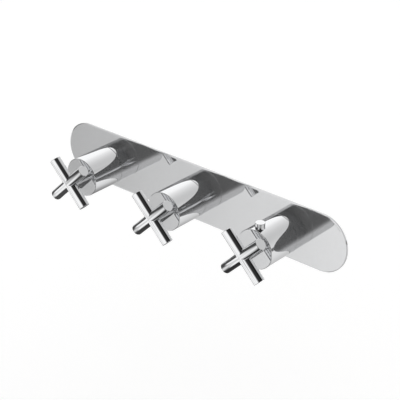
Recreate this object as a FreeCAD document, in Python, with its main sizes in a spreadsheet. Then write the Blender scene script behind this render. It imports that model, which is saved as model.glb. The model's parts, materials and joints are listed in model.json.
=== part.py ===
import FreeCAD, Part
import math
import os

import Sketcher
from FreeCAD import Placement, Rotation, Vector

# Three-control thermostatic shower valve, millimetres.
# Origin: centre of the wall plate's back face, which is the finished wall. +Z up, +X right, +Y into the wall.
# Depths in front of the wall are measured outwards, along -Y.

os.makedirs("parts", exist_ok=True)
doc = FreeCAD.newDocument("ShowerValve")

SIZES = [
    # wall plate
    ("plate_length", 450.0, "overall length of the obround plate"),
    ("plate_height", 76.0, "overall height of the plate"),
    ("plate_thick", 2.5, "plate thickness"),
    ("plate_edge", 0.4, "chamfer round the plate's front edge"),
    ("pitch", 140.0, "distance between neighbouring controls"),
    ("seal_inset", 5.0, "plate rim to the seal groove"),
    ("seal_width", 4.0, "width of the seal groove"),
    ("seal_depth", 1.2, "depth of the seal groove"),
    ("seal_gap", 0.2, "side clearance of the seal in its groove"),
    # collars and handle bodies
    ("body_radius", 25.3, "outer radius of collars and handle bodies"),
    ("collar_length", 15.15, "collar length in front of the plate"),
    ("seam_gap", 0.5, "gap between collar and turning handle body"),
    ("handle_length", 48.15, "length of a handle body"),
    ("handle_edge", 0.8, "chamfer round the front disc"),
    ("seam_edge", 0.3, "chamfer on both sides of the seam"),
    ("shell_wall", 3.3, "wall of the hollow handle body"),
    ("face_thick", 8.3, "depth of metal behind the front face at the hub"),
    ("disc_thick", 4.0, "thickness of the front disc"),
    ("collar_lip", 2.0, "thickness of the collar's front lip"),
    ("lip_gap", 1.0, "clearance of that lip round the cartridge nut's corners"),
    ("oring_groove", 1.6, "depth of the O-ring groove in the collar's back"),
    ("oring_rim", 1.3, "rim outside that groove"),
    ("oring_width", 2.4, "width of that groove"),
    ("collar_wall", 5.4, "outside of a collar in to the sleeve that it sits on"),
    # cross handle
    ("stem_reach", 20.7, "front disc to the cross's centre"),
    ("cross_span", 71.0, "cross, tip to tip"),
    ("rod_radius", 7.0, "radius of the cross's rods"),
    ("rod_edge", 0.5, "chamfer on the rod ends"),
    ("cross_angle", 45.0, "turn of the cross from upright"),
    ("stem_radius", 6.2, "stem between the cross and the front disc"),
    ("tenon_radius", 5.0, "tenon of the cross in the handle body"),
    ("tenon_length", 7.5, "length of that tenon"),
    ("fit_gap", 0.05, "radial clearance of located fits"),
    ("slide_gap", 0.08, "radial clearance of running and sliding fits"),
    ("free_gap", 0.3, "clearance between parts that only pass each other"),
    # hub, insert and grub screw
    ("hub_radius", 11.5, "outer radius of the hub inside the handle body"),
    ("hub_bore", 8.2, "bore of the hub for the splined insert"),
    ("hub_start", 36.0, "front of the wall to the hub's open end"),
    ("grub_radius", 2.0, "grub screw radius"),
    ("grub_length", 5.0, "grub screw length"),
    ("grub_hex", 1.0, "half the grub screw's hexagon across flats"),
    ("access_radius", 2.6, "hole in the shell for the hexagon key"),
    # spline between spindle and insert
    ("spline_teeth", 20.0, "number of spline teeth"),
    ("spline_tip", 5.0, "radius over the spindle's teeth"),
    ("spline_root", 4.3, "radius at the root of the spindle's teeth"),
    ("spline_width", 0.62, "width of one tooth"),
    ("spline_gap", 0.15, "radial clearance at tips and roots"),
    ("spline_start", 34.0, "front of the wall to the spline's start"),
    ("spindle_gap", 2.0, "spindle's end to the hub's floor"),
    # valve body
    ("bar_radius", 14.0, "radius of the bar that joins the chambers"),
    ("bar_depth", 20.0, "wall plane to the bar's axis"),
    ("bar_overhang", 30.0, "bar beyond the outer controls' axes"),
    ("bar_reach", 24.0, "a flow body's axis to its inner end faces"),
    ("bar_end", 2.0, "hot port's side to the thermostat body's end face"),
    ("boss_step", 0.9, "step from the sleeve out to its boss"),
    ("boss_front", 3.0, "wall plane to the bosses' front shoulder"),
    ("boss_back", 23.0, "wall plane to the bosses' back"),
    ("rear_radius", 15.5, "radius of the thermostat chamber's rear end"),
    ("rear_back", 32.0, "wall plane to the back of that end"),
    ("sleeve_end", 14.5, "front of the wall to the sleeve's mouth"),
    ("thread_gap", 0.1, "radial clearance of plain-modelled threads"),
    ("chamber_radius", 13.0, "bore of the three cartridge chambers"),
    ("chamber_floor", 18.0, "wall plane to the flow chambers' floor"),
    ("thermo_floor", 30.0, "wall plane to the thermostat chamber's floor"),
    ("mouth_radius", 16.0, "threaded mouth for the cartridge nut"),
    ("mouth_depth", 8.5, "depth of that mouth"),
    ("feed_radius", 5.0, "feed hole from gallery to flow chamber"),
    ("gallery_radius", 4.5, "mixed water gallery"),
    ("gallery_depth", 26.5, "wall plane to the gallery's axis"),
    ("gallery_rise", 3.0, "gallery axis above the controls' axes"),
    ("tube_radius", 6.5, "outer radius of the tubes that join the bodies"),
    ("socket_depth", 8.0, "depth of the sockets for those tubes"),
    ("plug_radius", 6.0, "gallery plug radius"),
    ("plug_length", 8.0, "gallery plug length"),
    ("plug_key", 2.3, "half the width of the plug's key socket"),
    ("port_radius", 13.0, "outer radius of the pipe ports"),
    ("port_depth", 16.4, "wall plane to the ports' axes"),
    ("port_drop", 40.0, "controls' axes down to the ports' mouths"),
    ("port_thread", 9.3, "bore radius of the ports' pipe thread"),
    ("thread_length", 14.0, "length of that thread"),
    ("outlet_radius", 7.0, "outlet passage"),
    ("outlet_top", 11.0, "controls' axes down to the outlet passage's top"),
    ("inlet_offset", 28.0, "thermostat axis to each inlet's axis"),
    ("inlet_radius", 8.0, "inlet bore for strainer and check valve"),
    ("inlet_top", 4.0, "controls' axes down to the inlet bores' top"),
    ("drill_radius", 3.0, "cross drillings from inlets to the chamber"),
    ("drill_drop", 7.5, "controls' axes down to the cross drillings"),
    ("hot_depth", 8.0, "wall plane to the hot drilling and annulus"),
    ("cold_depth", 16.0, "wall plane to the cold drilling and annulus"),
    ("web_front", 4.4, "wall plane to the front of the cast web"),
    ("web_back", 28.0, "wall plane to the back of the cast web"),
    ("lug_spacing", 140.0, "distance between the fixing holes"),
    ("lug_radius", 11.0, "end radius of a fixing lug"),
    ("lug_drop", 26.0, "controls' axes down to the fixing holes"),
    ("lug_thick", 4.0, "thickness of a fixing lug"),
    ("bracket_wall", 2.5, "wall of a bracket's eye round the tube"),
    ("strap_drop", 5.0, "gallery axis down to the top of a bracket's strap"),
    ("lug_hole", 2.75, "radius of a fixing hole"),
    # cartridges, common
    ("flange_radius", 15.7, "cartridge flange radius"),
    ("flange_thick", 2.5, "cartridge flange thickness"),
    ("neck_radius", 10.0, "cartridge neck radius"),
    ("neck_end", 30.0, "front of the wall to the neck's end"),
    ("stem_bore", 5.1, "bore for a spindle's stem"),
    ("clip_radius", 7.0, "outer radius of a spindle clip"),
    ("clip_thick", 0.8, "thickness of a spindle clip"),
    ("clip_groove", 4.2, "radius of the groove for that clip"),
    ("nut_flats", 13.5, "half the cartridge nut's hexagon across flats"),
    ("nut_head", 6.5, "height of the nut's hexagon"),
    ("ring_wire", 0.9, "section radius of the chamber O-rings"),
    ("ring_land", 11.15, "radius of the O-ring grooves' floor"),
    ("ring_groove", 2.2, "width of an O-ring groove"),
    # flow cartridge
    ("flow_skirt", 11.6, "outer radius of the flow cartridge's skirt"),
    ("flow_ring", 3.3, "front of the wall to the flow cartridge's O-ring"),
    ("skirt_start", 2.0, "wall plane to the start of that skirt"),
    ("disc_bore", 9.6, "bore of the cartridges' working end"),
    ("disc_radius", 9.3, "radius of the ceramic discs"),
    ("rotor_thick", 3.5, "thickness of the turning disc"),
    ("seat_thick", 4.3, "thickness of the fixed disc"),
    ("rotor_front", 8.0, "wall plane to the turning disc's front"),
    ("disc_port", 2.4, "radius of the holes in the discs"),
    ("disc_ring", 5.2, "radius at which those holes stand"),
    ("driver_front", 4.3, "wall plane to the spindle's driver"),
    ("driver_radius", 9.3, "radius of the driver"),
    ("driver_neck", 7.0, "radius of the spindle in its bearing"),
    ("bearing_front", 10.0, "front of the wall to the bearing's shoulder"),
    ("key_width", 4.0, "width of the driver's key"),
    ("key_length", 13.0, "length of the driver's key"),
    ("key_depth", 1.5, "height of the driver's key"),
    ("window_width", 12.0, "width of the flow cartridge's side windows"),
    ("window_length", 3.2, "length of those windows"),
    # thermostat cartridge
    ("thermo_end", 22.0, "wall plane to the end of the thermostat's housing"),
    ("thermo_ring", 1.0, "front of the wall to the thermostat's first O-ring"),
    ("annulus_radius", 11.4, "radius at the floor of the hot and cold annuli"),
    ("annulus_width", 5.0, "width of an annulus"),
    ("slot_width", 5.0, "width of a hot or cold slot"),
    ("slot_length", 3.0, "length of a hot or cold slot"),
    ("pusher_bore", 8.1, "bore for the spindle nut"),
    ("pusher_shoulder", 20.0, "front of the wall to that bore's shoulder"),
    ("spool_bore_front", 2.0, "wall plane to the spool bore's start"),
    ("spool_front", 9.0, "wall plane to the spool's front edge at rest"),
    ("spool_length", 6.3, "spool length"),
    ("spool_wall", 1.9, "spool wall"),
    ("web_thick", 1.8, "spool web"),
    ("web_hole", 1.5, "holes through the spool web"),
    ("element_radius", 4.0, "wax element radius"),
    ("element_front", 3.0, "wall plane to the element's front"),
    ("element_back", 22.0, "wall plane to the element's back"),
    ("collar_radius", 6.4, "flange of the element"),
    ("piston_radius", 1.5, "element's piston"),
    ("plunger_radius", 6.2, "overload plunger"),
    ("plunger_front", 1.2, "front of the wall to the plunger's front"),
    ("plunger_back", 0.4, "wall plane to the plunger's back"),
    ("pusher_front", 13.5, "front of the wall to the spindle nut's front"),
    ("pusher_back", 1.5, "wall plane to the spindle nut's back"),
    ("pusher_floor", 7.0, "front of the wall to the spindle nut's floor"),
    ("pusher_cup", 6.5, "inner radius of the spindle nut's cup"),
    ("screw_radius", 4.5, "radius of the temperature spindle's thread"),
    ("screw_end", 7.5, "front of the wall to that thread's end"),
    ("thrust_radius", 7.9, "thrust collar of the temperature spindle"),
    ("thrust_thick", 2.0, "thickness of that collar"),
    ("cage_radius", 12.5, "cage radius"),
    ("cage_end", 29.6, "wall plane to the cage's end"),
    ("cage_base", 1.2, "thickness of the cage's base"),
    ("cage_window", 4.0, "length of the cage's windows"),
    # temperature stop ring and override button
    ("ring_front", 26.0, "front of the wall to the stop ring's front"),
    ("ring_thick", 2.0, "thickness of the stop ring"),
    ("ring_gap", 0.8, "stop ring's edge to the handle body's wall"),
    ("lug_wall", 1.9, "thickness of the stop ring's lugs"),
    ("lug_reach", 5.0, "length of the lugs towards the front"),
    ("stop_gap", 0.3, "gap between tooth and lug at each stop"),
    ("lug_arc", 24.0, "arc of a lug in degrees"),
    ("turn_to_cold", 180.0, "turn from the 38 degree stop to cold"),
    ("button_setback", 9.6, "front disc back to the button's axis"),
    ("button_radius", 6.0, "button radius"),
    ("button_stand", 6.5, "button above the handle body"),
    ("button_edge", 0.5, "chamfer round the button's top"),
    ("button_hole_gap", 0.09, "radial clearance of the button's hole"),
    ("button_flange", 7.2, "half width of the button's retaining flange"),
    ("flange_drop", 1.7, "handle body's wall down to that flange"),
    ("flange_plate", 1.4, "thickness of the flange and the arm"),
    ("peg_radius", 2.4, "peg inside the button's spring"),
    ("peg_length", 3.4, "length of that peg"),
    ("pad_height", 0.8, "height of the spring's seat on the hub"),
    ("pad_root", 0.8, "bore of the hub out to the root of that seat"),
    ("pad_radius", 5.2, "radius of that seat"),
    ("arm_width", 5.0, "width of the button's arm"),
    ("tooth_gap", 0.6, "stop ring's front to the arm's tooth"),
    ("tooth_length", 4.0, "length of that tooth"),
    ("tooth_height", 3.9, "height of that tooth"),
    # inlet strainers and check valves
    ("strainer_height", 2.9, "height of a strainer"),
    ("strainer_wall", 1.2, "rim of a strainer"),
    ("mesh_thick", 0.8, "strainer disc"),
    ("mesh_hole", 1.1, "hole of a strainer disc"),
    ("mesh_ring", 4.2, "radius at which those holes stand"),
    ("hole_count", 4.0, "water holes in a spool web, a guide and a strainer"),
    ("valve_length", 13.0, "length of a check valve body"),
    ("valve_wall", 1.9, "wall of a check valve body"),
    ("valve_end", 1.5, "thickness of its seat and of its guide"),
    ("valve_seat", 4.4, "radius of its seat opening"),
    ("poppet_radius", 5.3, "poppet radius"),
    ("poppet_thick", 1.4, "poppet thickness"),
    ("poppet_stem", 1.5, "poppet stem radius"),
    ("stem_length", 12.3, "poppet stem length"),
    ("guide_hole", 1.0, "water holes in the guide"),
    # springs
    ("return_coil", 7.6, "return spring, radius to the wire's centre"),
    ("return_wire", 0.7, "return spring wire radius"),
    ("return_turns", 3.0, "return spring turns"),
    ("overload_coil", 5.2, "overload spring radius"),
    ("overload_wire", 0.6, "overload spring wire radius"),
    ("button_coil", 3.6, "button spring radius"),
    ("button_wire", 0.35, "button spring wire radius"),
    ("valve_coil", 3.4, "check valve spring radius"),
    ("valve_wire", 0.3, "check valve spring wire radius"),
]

sheet = doc.addObject("Spreadsheet::Sheet", "Sizes")
for row, (alias, value, meaning) in enumerate(SIZES, start=1):
    sheet.set(f"A{row}", meaning)
    sheet.set(f"B{row}", str(value))
    sheet.setAlias(f"B{row}", alias)
doc.recompute()


class Size:
    """A number of the model together with the sheet formula that gives it."""

    def __init__(self, value, formula):
        self.value = float(value)
        self.formula = formula

    def __add__(self, other):
        other = as_size(other)
        return Size(self.value + other.value, f"({self.formula} + {other.formula})")

    def __sub__(self, other):
        other = as_size(other)
        return Size(self.value - other.value, f"({self.formula} - {other.formula})")

    def __mul__(self, other):
        other = as_size(other)
        return Size(self.value * other.value, f"({self.formula} * {other.formula})")

    def __truediv__(self, other):
        other = as_size(other)
        return Size(self.value / other.value, f"({self.formula} / {other.formula})")

    def __neg__(self):
        return Size(-self.value, f"(0 - {self.formula})")

    def __radd__(self, other):
        return as_size(other) + self

    def __rsub__(self, other):
        return as_size(other) - self

    def __rmul__(self, other):
        return as_size(other) * self


def as_size(number):
    if isinstance(number, Size):
        return number
    return Size(number, f"({float(number):.9f})")


S = {alias: Size(float(sheet.get(alias)), f"Sizes.{alias}") for alias, value, meaning in SIZES}
ZERO = as_size(0.0)

# sizes that follow from others, so that a change of one carries through
S["front_reach"] = S["plate_thick"] + S["collar_length"] + S["seam_gap"] + S["handle_length"]
S["spindle_end"] = S["front_reach"] - S["face_thick"] - S["spindle_gap"]
S["grub_place"] = (S["hub_start"] + S["spindle_end"]) / 2
S["sleeve_radius"] = S["body_radius"] - S["collar_wall"]
S["boss_radius"] = S["sleeve_radius"] + S["boss_step"]
S["oring_outer"] = S["body_radius"] - S["oring_rim"]
S["oring_inner"] = S["oring_outer"] - S["oring_width"]
S["lip_radius"] = S["nut_flats"] * (1 / math.cos(math.pi / 6)) + S["lip_gap"]
S["cavity_radius"] = S["body_radius"] - S["shell_wall"]
S["ring_radius"] = S["cavity_radius"] - S["ring_gap"]
S["lug_floor"] = S["ring_radius"] - S["lug_wall"]
S["button_place"] = S["front_reach"] - S["button_setback"]
S["flange_top"] = S["cavity_radius"] - S["flange_drop"]
S["flange_low"] = S["flange_top"] - S["flange_plate"]
S["peg_low"] = S["flange_low"] - S["peg_length"]
S["pad_top"] = S["hub_radius"] + S["pad_height"]
S["tooth_back"] = S["ring_front"] + S["tooth_gap"]
S["tooth_top"] = S["ring_radius"] - S["free_gap"]
S["tooth_low"] = S["tooth_top"] - S["tooth_height"]


# ---------------------------------------------------------------- sketches and features

def bind(thing, prop, size):
    """Give a property its value and tie it to the sheet."""
    size = as_size(size)
    if "Sizes." in size.formula:
        thing.setExpression(prop, size.formula)
    else:
        setattr(thing, prop, size.value)


def new_body(label, x=ZERO, y=ZERO, z=ZERO):
    body = doc.addObject("PartDesign::Body", label)
    body.Label = label
    body.Placement = Placement(Vector(x.value, y.value, z.value), Rotation())
    for axis, size in (("x", x), ("y", y), ("z", z)):
        if size.value:
            body.setExpression(f"Placement.Base.{axis}", size.formula)
    return body


def origin_feature(body, role):
    return next(f for f in body.Origin.OriginFeatures if f.Role == role)


def new_sketch(body, plane, offset=ZERO):
    """A sketch on one of the body's own planes, moved along that plane's normal by offset."""
    sketch = body.newObject("Sketcher::SketchObject", f"{body.Name}Sketch")
    sketch.AttachmentSupport = [(origin_feature(body, plane), "")]
    sketch.MapMode = "FlatFace"
    offset = as_size(offset)
    if offset.value:
        sketch.AttachmentOffset = Placement(Vector(0, 0, offset.value), Rotation())
        if "Sizes." in offset.formula:
            sketch.setExpression("AttachmentOffset.Base.z", offset.formula)
    return sketch


def tie_point(sketch, geometry, point, u, v):
    """Tie a point of the sketch to the origin by its two sheet-driven distances."""
    for kind, size, axis in (("DistanceX", u, -2), ("DistanceY", v, -1)):
        if abs(size.value) < 1e-9:
            sketch.addConstraint(Sketcher.Constraint("PointOnObject", geometry, point, axis))
            continue
        if size.value > 0:
            ends = (-1, 1, geometry, point)
            reading = size
        else:
            ends = (geometry, point, -1, 1)
            reading = -size
        index = sketch.addConstraint(Sketcher.Constraint(kind, *ends, reading.value))
        if "Sizes." in reading.formula:
            sketch.setExpression(f"Constraints[{index}]", reading.formula)


def draw_polygon(sketch, points):
    points = [(as_size(u), as_size(v)) for u, v in points]
    first = sketch.GeometryCount
    count = len(points)
    for i, (u, v) in enumerate(points):
        p, q = points[(i + 1) % count]
        line = Part.LineSegment(Vector(u.value, v.value, 0), Vector(p.value, q.value, 0))
        sketch.addGeometry(line, False)
    for i in range(count):
        sketch.addConstraint(
            Sketcher.Constraint("Coincident", first + i, 2, first + (i + 1) % count, 1))
    for i, (u, v) in enumerate(points):
        tie_point(sketch, first + i, 1, u, v)


def draw_rectangle(sketch, u0, v0, u1, v1):
    draw_polygon(sketch, [(u0, v0), (u1, v0), (u1, v1), (u0, v1)])


def draw_circle(sketch, u, v, radius):
    u, v, radius = as_size(u), as_size(v), as_size(radius)
    circle = Part.Circle(Vector(u.value, v.value, 0), Vector(0, 0, 1), radius.value)
    index = sketch.addGeometry(circle, False)
    tie_point(sketch, index, 3, u, v)
    tie_radius(sketch, index, radius)


def tie_radius(sketch, index, radius):
    row = sketch.addConstraint(Sketcher.Constraint("Radius", index, radius.value))
    if "Sizes." in radius.formula:
        sketch.setExpression(f"Constraints[{row}]", radius.formula)


def draw_obround(sketch, length, height, inset=ZERO):
    """A long outline with half-round ends, centred on the sketch's origin."""
    radius = height / 2 - inset
    reach = length / 2 - height / 2
    first = sketch.GeometryCount
    x, r = reach.value, radius.value
    quarter = math.pi / 2
    right = Part.Circle(Vector(x, 0, 0), Vector(0, 0, 1), r)
    left = Part.Circle(Vector(-x, 0, 0), Vector(0, 0, 1), r)
    sketch.addGeometry(Part.ArcOfCircle(right, -quarter, quarter), False)
    sketch.addGeometry(Part.LineSegment(Vector(x, r, 0), Vector(-x, r, 0)), False)
    sketch.addGeometry(Part.ArcOfCircle(left, quarter, 3 * quarter), False)
    sketch.addGeometry(Part.LineSegment(Vector(-x, -r, 0), Vector(x, -r, 0)), False)
    for start, end in ((0, 1), (1, 2), (2, 3), (3, 0)):
        sketch.addConstraint(
            Sketcher.Constraint("Tangent", first + start, 2, first + end, 1))
    tie_point(sketch, first, 3, reach, ZERO)
    tie_point(sketch, first + 2, 3, -reach, ZERO)
    tie_radius(sketch, first, radius)


def draw_hexagon(sketch, half_flats):
    corner = half_flats / math.cos(math.pi / 6)
    angles = [math.radians(60 * k) for k in range(6)]
    draw_polygon(sketch, [(corner * math.cos(a), corner * math.sin(a)) for a in angles])


def pad(body, sketch, length, back=False):
    feature = body.newObject("PartDesign::Pad", f"{body.Name}Pad")
    feature.Profile = sketch
    bind(feature, "Length", length)
    feature.Reversed = back
    return feature


def pocket(body, sketch, length, back=False):
    feature = body.newObject("PartDesign::Pocket", f"{body.Name}Pocket")
    feature.Profile = sketch
    bind(feature, "Length", length)
    feature.Reversed = back
    return feature


def revolve(body, plane, points, axis="V_Axis", cut=False, angle=360.0):
    """Turn a closed profile about one axis of its sketch."""
    sketch = new_sketch(body, plane)
    draw_polygon(sketch, points)
    kind = "Groove" if cut else "Revolution"
    feature = body.newObject(f"PartDesign::{kind}", f"{body.Name}{kind}")
    feature.Profile = sketch
    feature.ReferenceAxis = (sketch, [axis])
    feature.Angle = angle
    return feature


def turned(body, points, cut=False, angle=360.0):
    """A piece turned about the control's own axis: points are radius, depth (y)."""
    return revolve(body, "XY_Plane", points, "V_Axis", cut, angle)


def polar(body, features, axis_role, count, angle=360.0):
    pattern = body.newObject("PartDesign::PolarPattern", f"{body.Name}Pattern")
    pattern.Originals = features
    pattern.Axis = (origin_feature(body, axis_role), [""])
    pattern.Angle = angle
    if isinstance(count, Size):
        pattern.setExpression("Occurrences", count.formula)
    else:
        pattern.Occurrences = count
    body.Tip = pattern
    return pattern


def coil(body, plane, radius, wire, start, length, turns):
    """A compression spring of square wire about the sketch's upright axis."""
    sketch = new_sketch(body, plane)
    draw_rectangle(sketch, radius - wire, start - wire, radius + wire, start + wire)
    spring = body.newObject("PartDesign::AdditiveHelix", f"{body.Name}Coil")
    spring.Profile = sketch
    spring.ReferenceAxis = (sketch, ["V_Axis"])
    spring.Mode = 2
    bind(spring, "Height", length)
    bind(spring, "Turns", turns)
    return spring


def sleeve(body, plane, radius, wire, start, end):
    """A small hidden spring as the sleeve that its turns fill."""
    return revolve(body, plane, [
        (radius - wire, start), (radius + wire, start), (radius + wire, end), (radius - wire, end),
    ])


# ---------------------------------------------------------------- shared places

plate_front = -S["plate_thick"]
left = -S["pitch"]
middle = ZERO
right = S["pitch"]
CONTROLS = (("left", left), ("middle", middle), ("right", right))
FLOW_CONTROLS = CONTROLS[:2]
collar_front = plate_front - S["collar_length"]
handle_back = collar_front - S["seam_gap"]
handle_front = handle_back - S["handle_length"]
cavity_radius = S["cavity_radius"]
cross_centre = handle_front - S["stem_reach"]
nut_seat = S["mouth_depth"] - S["sleeve_end"]
nut_face = nut_seat - S["flange_thick"]
hot_x = right - S["inlet_offset"]
cold_x = right + S["inlet_offset"]
inlet_floor = S["thread_length"] - S["port_drop"]

parts = []


def keep(piece):
    parts.append(piece)
    return piece


# ---------------------------------------------------------------- wall plate and its seal

plate = keep(new_body("wall_plate"))
outline = new_sketch(plate, "XZ_Plane")
draw_obround(outline, S["plate_length"], S["plate_height"])
for name, x in CONTROLS:
    draw_circle(outline, x, ZERO, S["sleeve_radius"] + S["free_gap"])
plate_pad = pad(plate, outline, S["plate_thick"])
groove = new_sketch(plate, "XZ_Plane", S["seal_depth"])
draw_obround(groove, S["plate_length"], S["plate_height"], S["seal_inset"])
draw_obround(groove, S["plate_length"], S["plate_height"], S["seal_inset"] + S["seal_width"])
groove_cut = pocket(plate, groove, S["seal_depth"])
doc.recompute()
rim = [
    f"Edge{i}"
    for i, edge in enumerate(groove_cut.Shape.Edges, start=1)
    if abs(edge.BoundBox.YMin - plate_front.value) < 1e-6
    and abs(edge.BoundBox.YMax - plate_front.value) < 1e-6
    and edge.BoundBox.ZMax - edge.BoundBox.ZMin < 1e-6
    and abs(abs(edge.BoundBox.ZMax) - S["plate_height"].value / 2) < 1e-6
]
edge_round = plate.newObject("PartDesign::Chamfer", "PlateEdge")
edge_round.Base = (groove_cut, rim)
bind(edge_round, "Size", S["plate_edge"])

seal = keep(new_body("plate_seal"))
ring = new_sketch(seal, "XZ_Plane")
draw_obround(ring, S["plate_length"], S["plate_height"], S["seal_inset"] + S["seal_gap"])
draw_obround(ring, S["plate_length"], S["plate_height"],
             S["seal_inset"] + S["seal_width"] - S["seal_gap"])
pad(seal, ring, S["seal_depth"])

# ---------------------------------------------------------------- collars and their O-rings

collar_bore = S["sleeve_radius"] + S["thread_gap"]
lip_back = collar_front + S["collar_lip"]
seal_floor = plate_front - S["oring_groove"]
collars = []
for name, x in CONTROLS:
    collar = new_body(f"Collar_{name}", x)
    collars.append(collar)
    turned(collar, [
        (collar_bore, plate_front),
        (S["oring_inner"], plate_front),
        (S["oring_inner"], seal_floor),
        (S["oring_outer"], seal_floor),
        (S["oring_outer"], plate_front),
        (S["body_radius"], plate_front),
        (S["body_radius"], collar_front + S["seam_edge"]),
        (S["body_radius"] - S["seam_edge"], collar_front),
        (S["lip_radius"], collar_front),
        (S["lip_radius"], lip_back),
        (collar_bore, lip_back),
    ])


def o_ring(name, x, y, radius, wire):
    """An O-ring about a control's axis, pressed flat against its groove and its bore."""
    ring = new_body(name, x, y)
    turned(ring, [
        (radius - wire, wire / -2), (radius, -wire), (radius + wire, wire / -2),
        (radius + wire, wire / 2), (radius, wire), (radius - wire, wire / 2),
    ])
    return ring


def group(label, members):
    whole = doc.addObject("Part::Compound", label)
    whole.Label = label
    whole.Links = members
    return keep(whole)


group("collars", collars)
group("collar_seals", [
    o_ring(f"CollarRing_{name}", x, plate_front - S["oring_groove"] / 2,
           (S["oring_inner"] + S["oring_outer"]) / 2, S["oring_groove"] / 2)
    for name, x in CONTROLS
])

# ---------------------------------------------------------------- valve bodies, gallery and brackets

def valve_casting(label, name, x, low_end, high_end, floor):
    """A brass casting: one control's chamber, its sleeve through the plate and a stretch of the bar."""
    casting = keep(new_body(label))
    bar = new_sketch(casting, "YZ_Plane", low_end)
    draw_circle(bar, S["bar_depth"], ZERO, S["bar_radius"])
    pad(casting, bar, high_end - low_end)
    boss = new_sketch(casting, "XZ_Plane", -S["boss_back"])
    draw_circle(boss, x, ZERO, S["boss_radius"])
    pad(casting, boss, S["boss_back"] - S["boss_front"])
    neck = new_sketch(casting, "XZ_Plane", -S["bar_depth"])
    draw_circle(neck, x, ZERO, S["sleeve_radius"])
    pad(casting, neck, S["bar_depth"] + S["sleeve_end"])
    if name == "right":
        rear = new_sketch(casting, "XZ_Plane", -S["rear_back"])
        draw_circle(rear, x, ZERO, S["rear_radius"])
        pad(casting, rear, S["rear_back"] - S["boss_front"])
        web = new_sketch(casting, "XY_Plane")
        draw_rectangle(web, hot_x, S["web_front"], cold_x, S["web_back"])
        pad(casting, web, S["bar_radius"], back=True)
    port_places = (hot_x, cold_x) if name == "right" else (x,)
    ports = new_sketch(casting, "XY_Plane")
    for place in port_places:
        draw_circle(ports, place, S["port_depth"], S["port_radius"])
    pad(casting, ports, S["port_drop"], back=True)

    chamber = new_sketch(casting, "XZ_Plane", S["sleeve_end"])
    draw_circle(chamber, x, ZERO, S["chamber_radius"])
    pocket(casting, chamber, S["sleeve_end"] + floor)
    mouth = new_sketch(casting, "XZ_Plane", S["sleeve_end"])
    draw_circle(mouth, x, ZERO, S["mouth_radius"])
    pocket(casting, mouth, S["mouth_depth"])

    threads = new_sketch(casting, "XY_Plane", -S["port_drop"])
    for place in port_places:
        draw_circle(threads, place, S["port_depth"], S["port_thread"])
    pocket(casting, threads, S["thread_length"], back=True)
    passages = new_sketch(casting, "XY_Plane", -S["port_drop"])
    for place in port_places:
        draw_circle(passages, place, S["port_depth"],
                    S["inlet_radius"] if name == "right" else S["outlet_radius"])
    top = S["inlet_top"] if name == "right" else S["outlet_top"]
    pocket(casting, passages, S["port_drop"] - top, back=True)
    return casting


def bore_gallery(casting, start, end):
    gallery = new_sketch(casting, "YZ_Plane", start)
    draw_circle(gallery, S["gallery_depth"], S["gallery_rise"], S["gallery_radius"])
    pocket(casting, gallery, end - start, back=True)


def bore_socket(casting, mouth, inward, radius, depth):
    """A round socket on the gallery's axis, entered from the casting's end face."""
    socket = new_sketch(casting, "YZ_Plane", mouth)
    draw_circle(socket, S["gallery_depth"], S["gallery_rise"], radius)
    pocket(casting, socket, depth, back=inward > 0)


tube_bore = S["tube_radius"] + S["fit_gap"]
left_low = left - S["bar_overhang"]
left_high = left + S["bar_reach"]
middle_low = middle - S["bar_reach"]
middle_high = middle + S["bar_reach"]
right_low = hot_x - S["port_radius"] - S["bar_end"]
right_high = right + S["bar_overhang"]

flow_left = valve_casting("flow_body_left", "left", left, left_low, left_high, S["chamber_floor"])
bore_gallery(flow_left, left_low, left_high)
bore_socket(flow_left, left_high, -1, tube_bore, S["socket_depth"])
bore_socket(flow_left, left_low, 1, S["plug_radius"] + S["thread_gap"], S["plug_length"])
flow_middle = valve_casting("flow_body_middle", "middle", middle, middle_low, middle_high,
                            S["chamber_floor"])
bore_gallery(flow_middle, middle_low, middle_high)
bore_socket(flow_middle, middle_high, -1, tube_bore, S["socket_depth"])
bore_socket(flow_middle, middle_low, 1, tube_bore, S["socket_depth"])
for casting, x in ((flow_left, left), (flow_middle, middle)):
    feed = new_sketch(casting, "XZ_Plane", -S["chamber_floor"])
    draw_circle(feed, x, ZERO, S["feed_radius"])
    pocket(casting, feed, S["gallery_depth"] - S["chamber_floor"])

thermo_body = valve_casting("valve_body", "right", right, right_low, right_high, S["thermo_floor"])
bore_gallery(thermo_body, right_low, right - S["chamber_radius"] / 2)
bore_socket(thermo_body, right_low, 1, tube_bore, S["socket_depth"])
hot_drill = new_sketch(thermo_body, "YZ_Plane", hot_x)
draw_circle(hot_drill, S["hot_depth"], -S["drill_drop"], S["drill_radius"])
pocket(thermo_body, hot_drill, S["inlet_offset"] - S["chamber_radius"] / 2, back=True)
cold_drill = new_sketch(thermo_body, "YZ_Plane", cold_x)
draw_circle(cold_drill, S["cold_depth"], -S["drill_drop"], S["drill_radius"])
pocket(thermo_body, cold_drill, S["inlet_offset"] - S["chamber_radius"] / 2)

tubes = []
for label, start, end in (("Left", left_high, middle_low), ("Right", middle_high, right_low)):
    tube = new_body(f"GalleryTube{label}")
    seated = S["socket_depth"] - S["thread_gap"]
    ring = new_sketch(tube, "YZ_Plane", start - seated)
    draw_circle(ring, S["gallery_depth"], S["gallery_rise"], S["tube_radius"])
    draw_circle(ring, S["gallery_depth"], S["gallery_rise"], S["gallery_radius"])
    pad(tube, ring, end - start + seated * 2)
    tubes.append(tube)
group("gallery_tubes", tubes)

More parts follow.
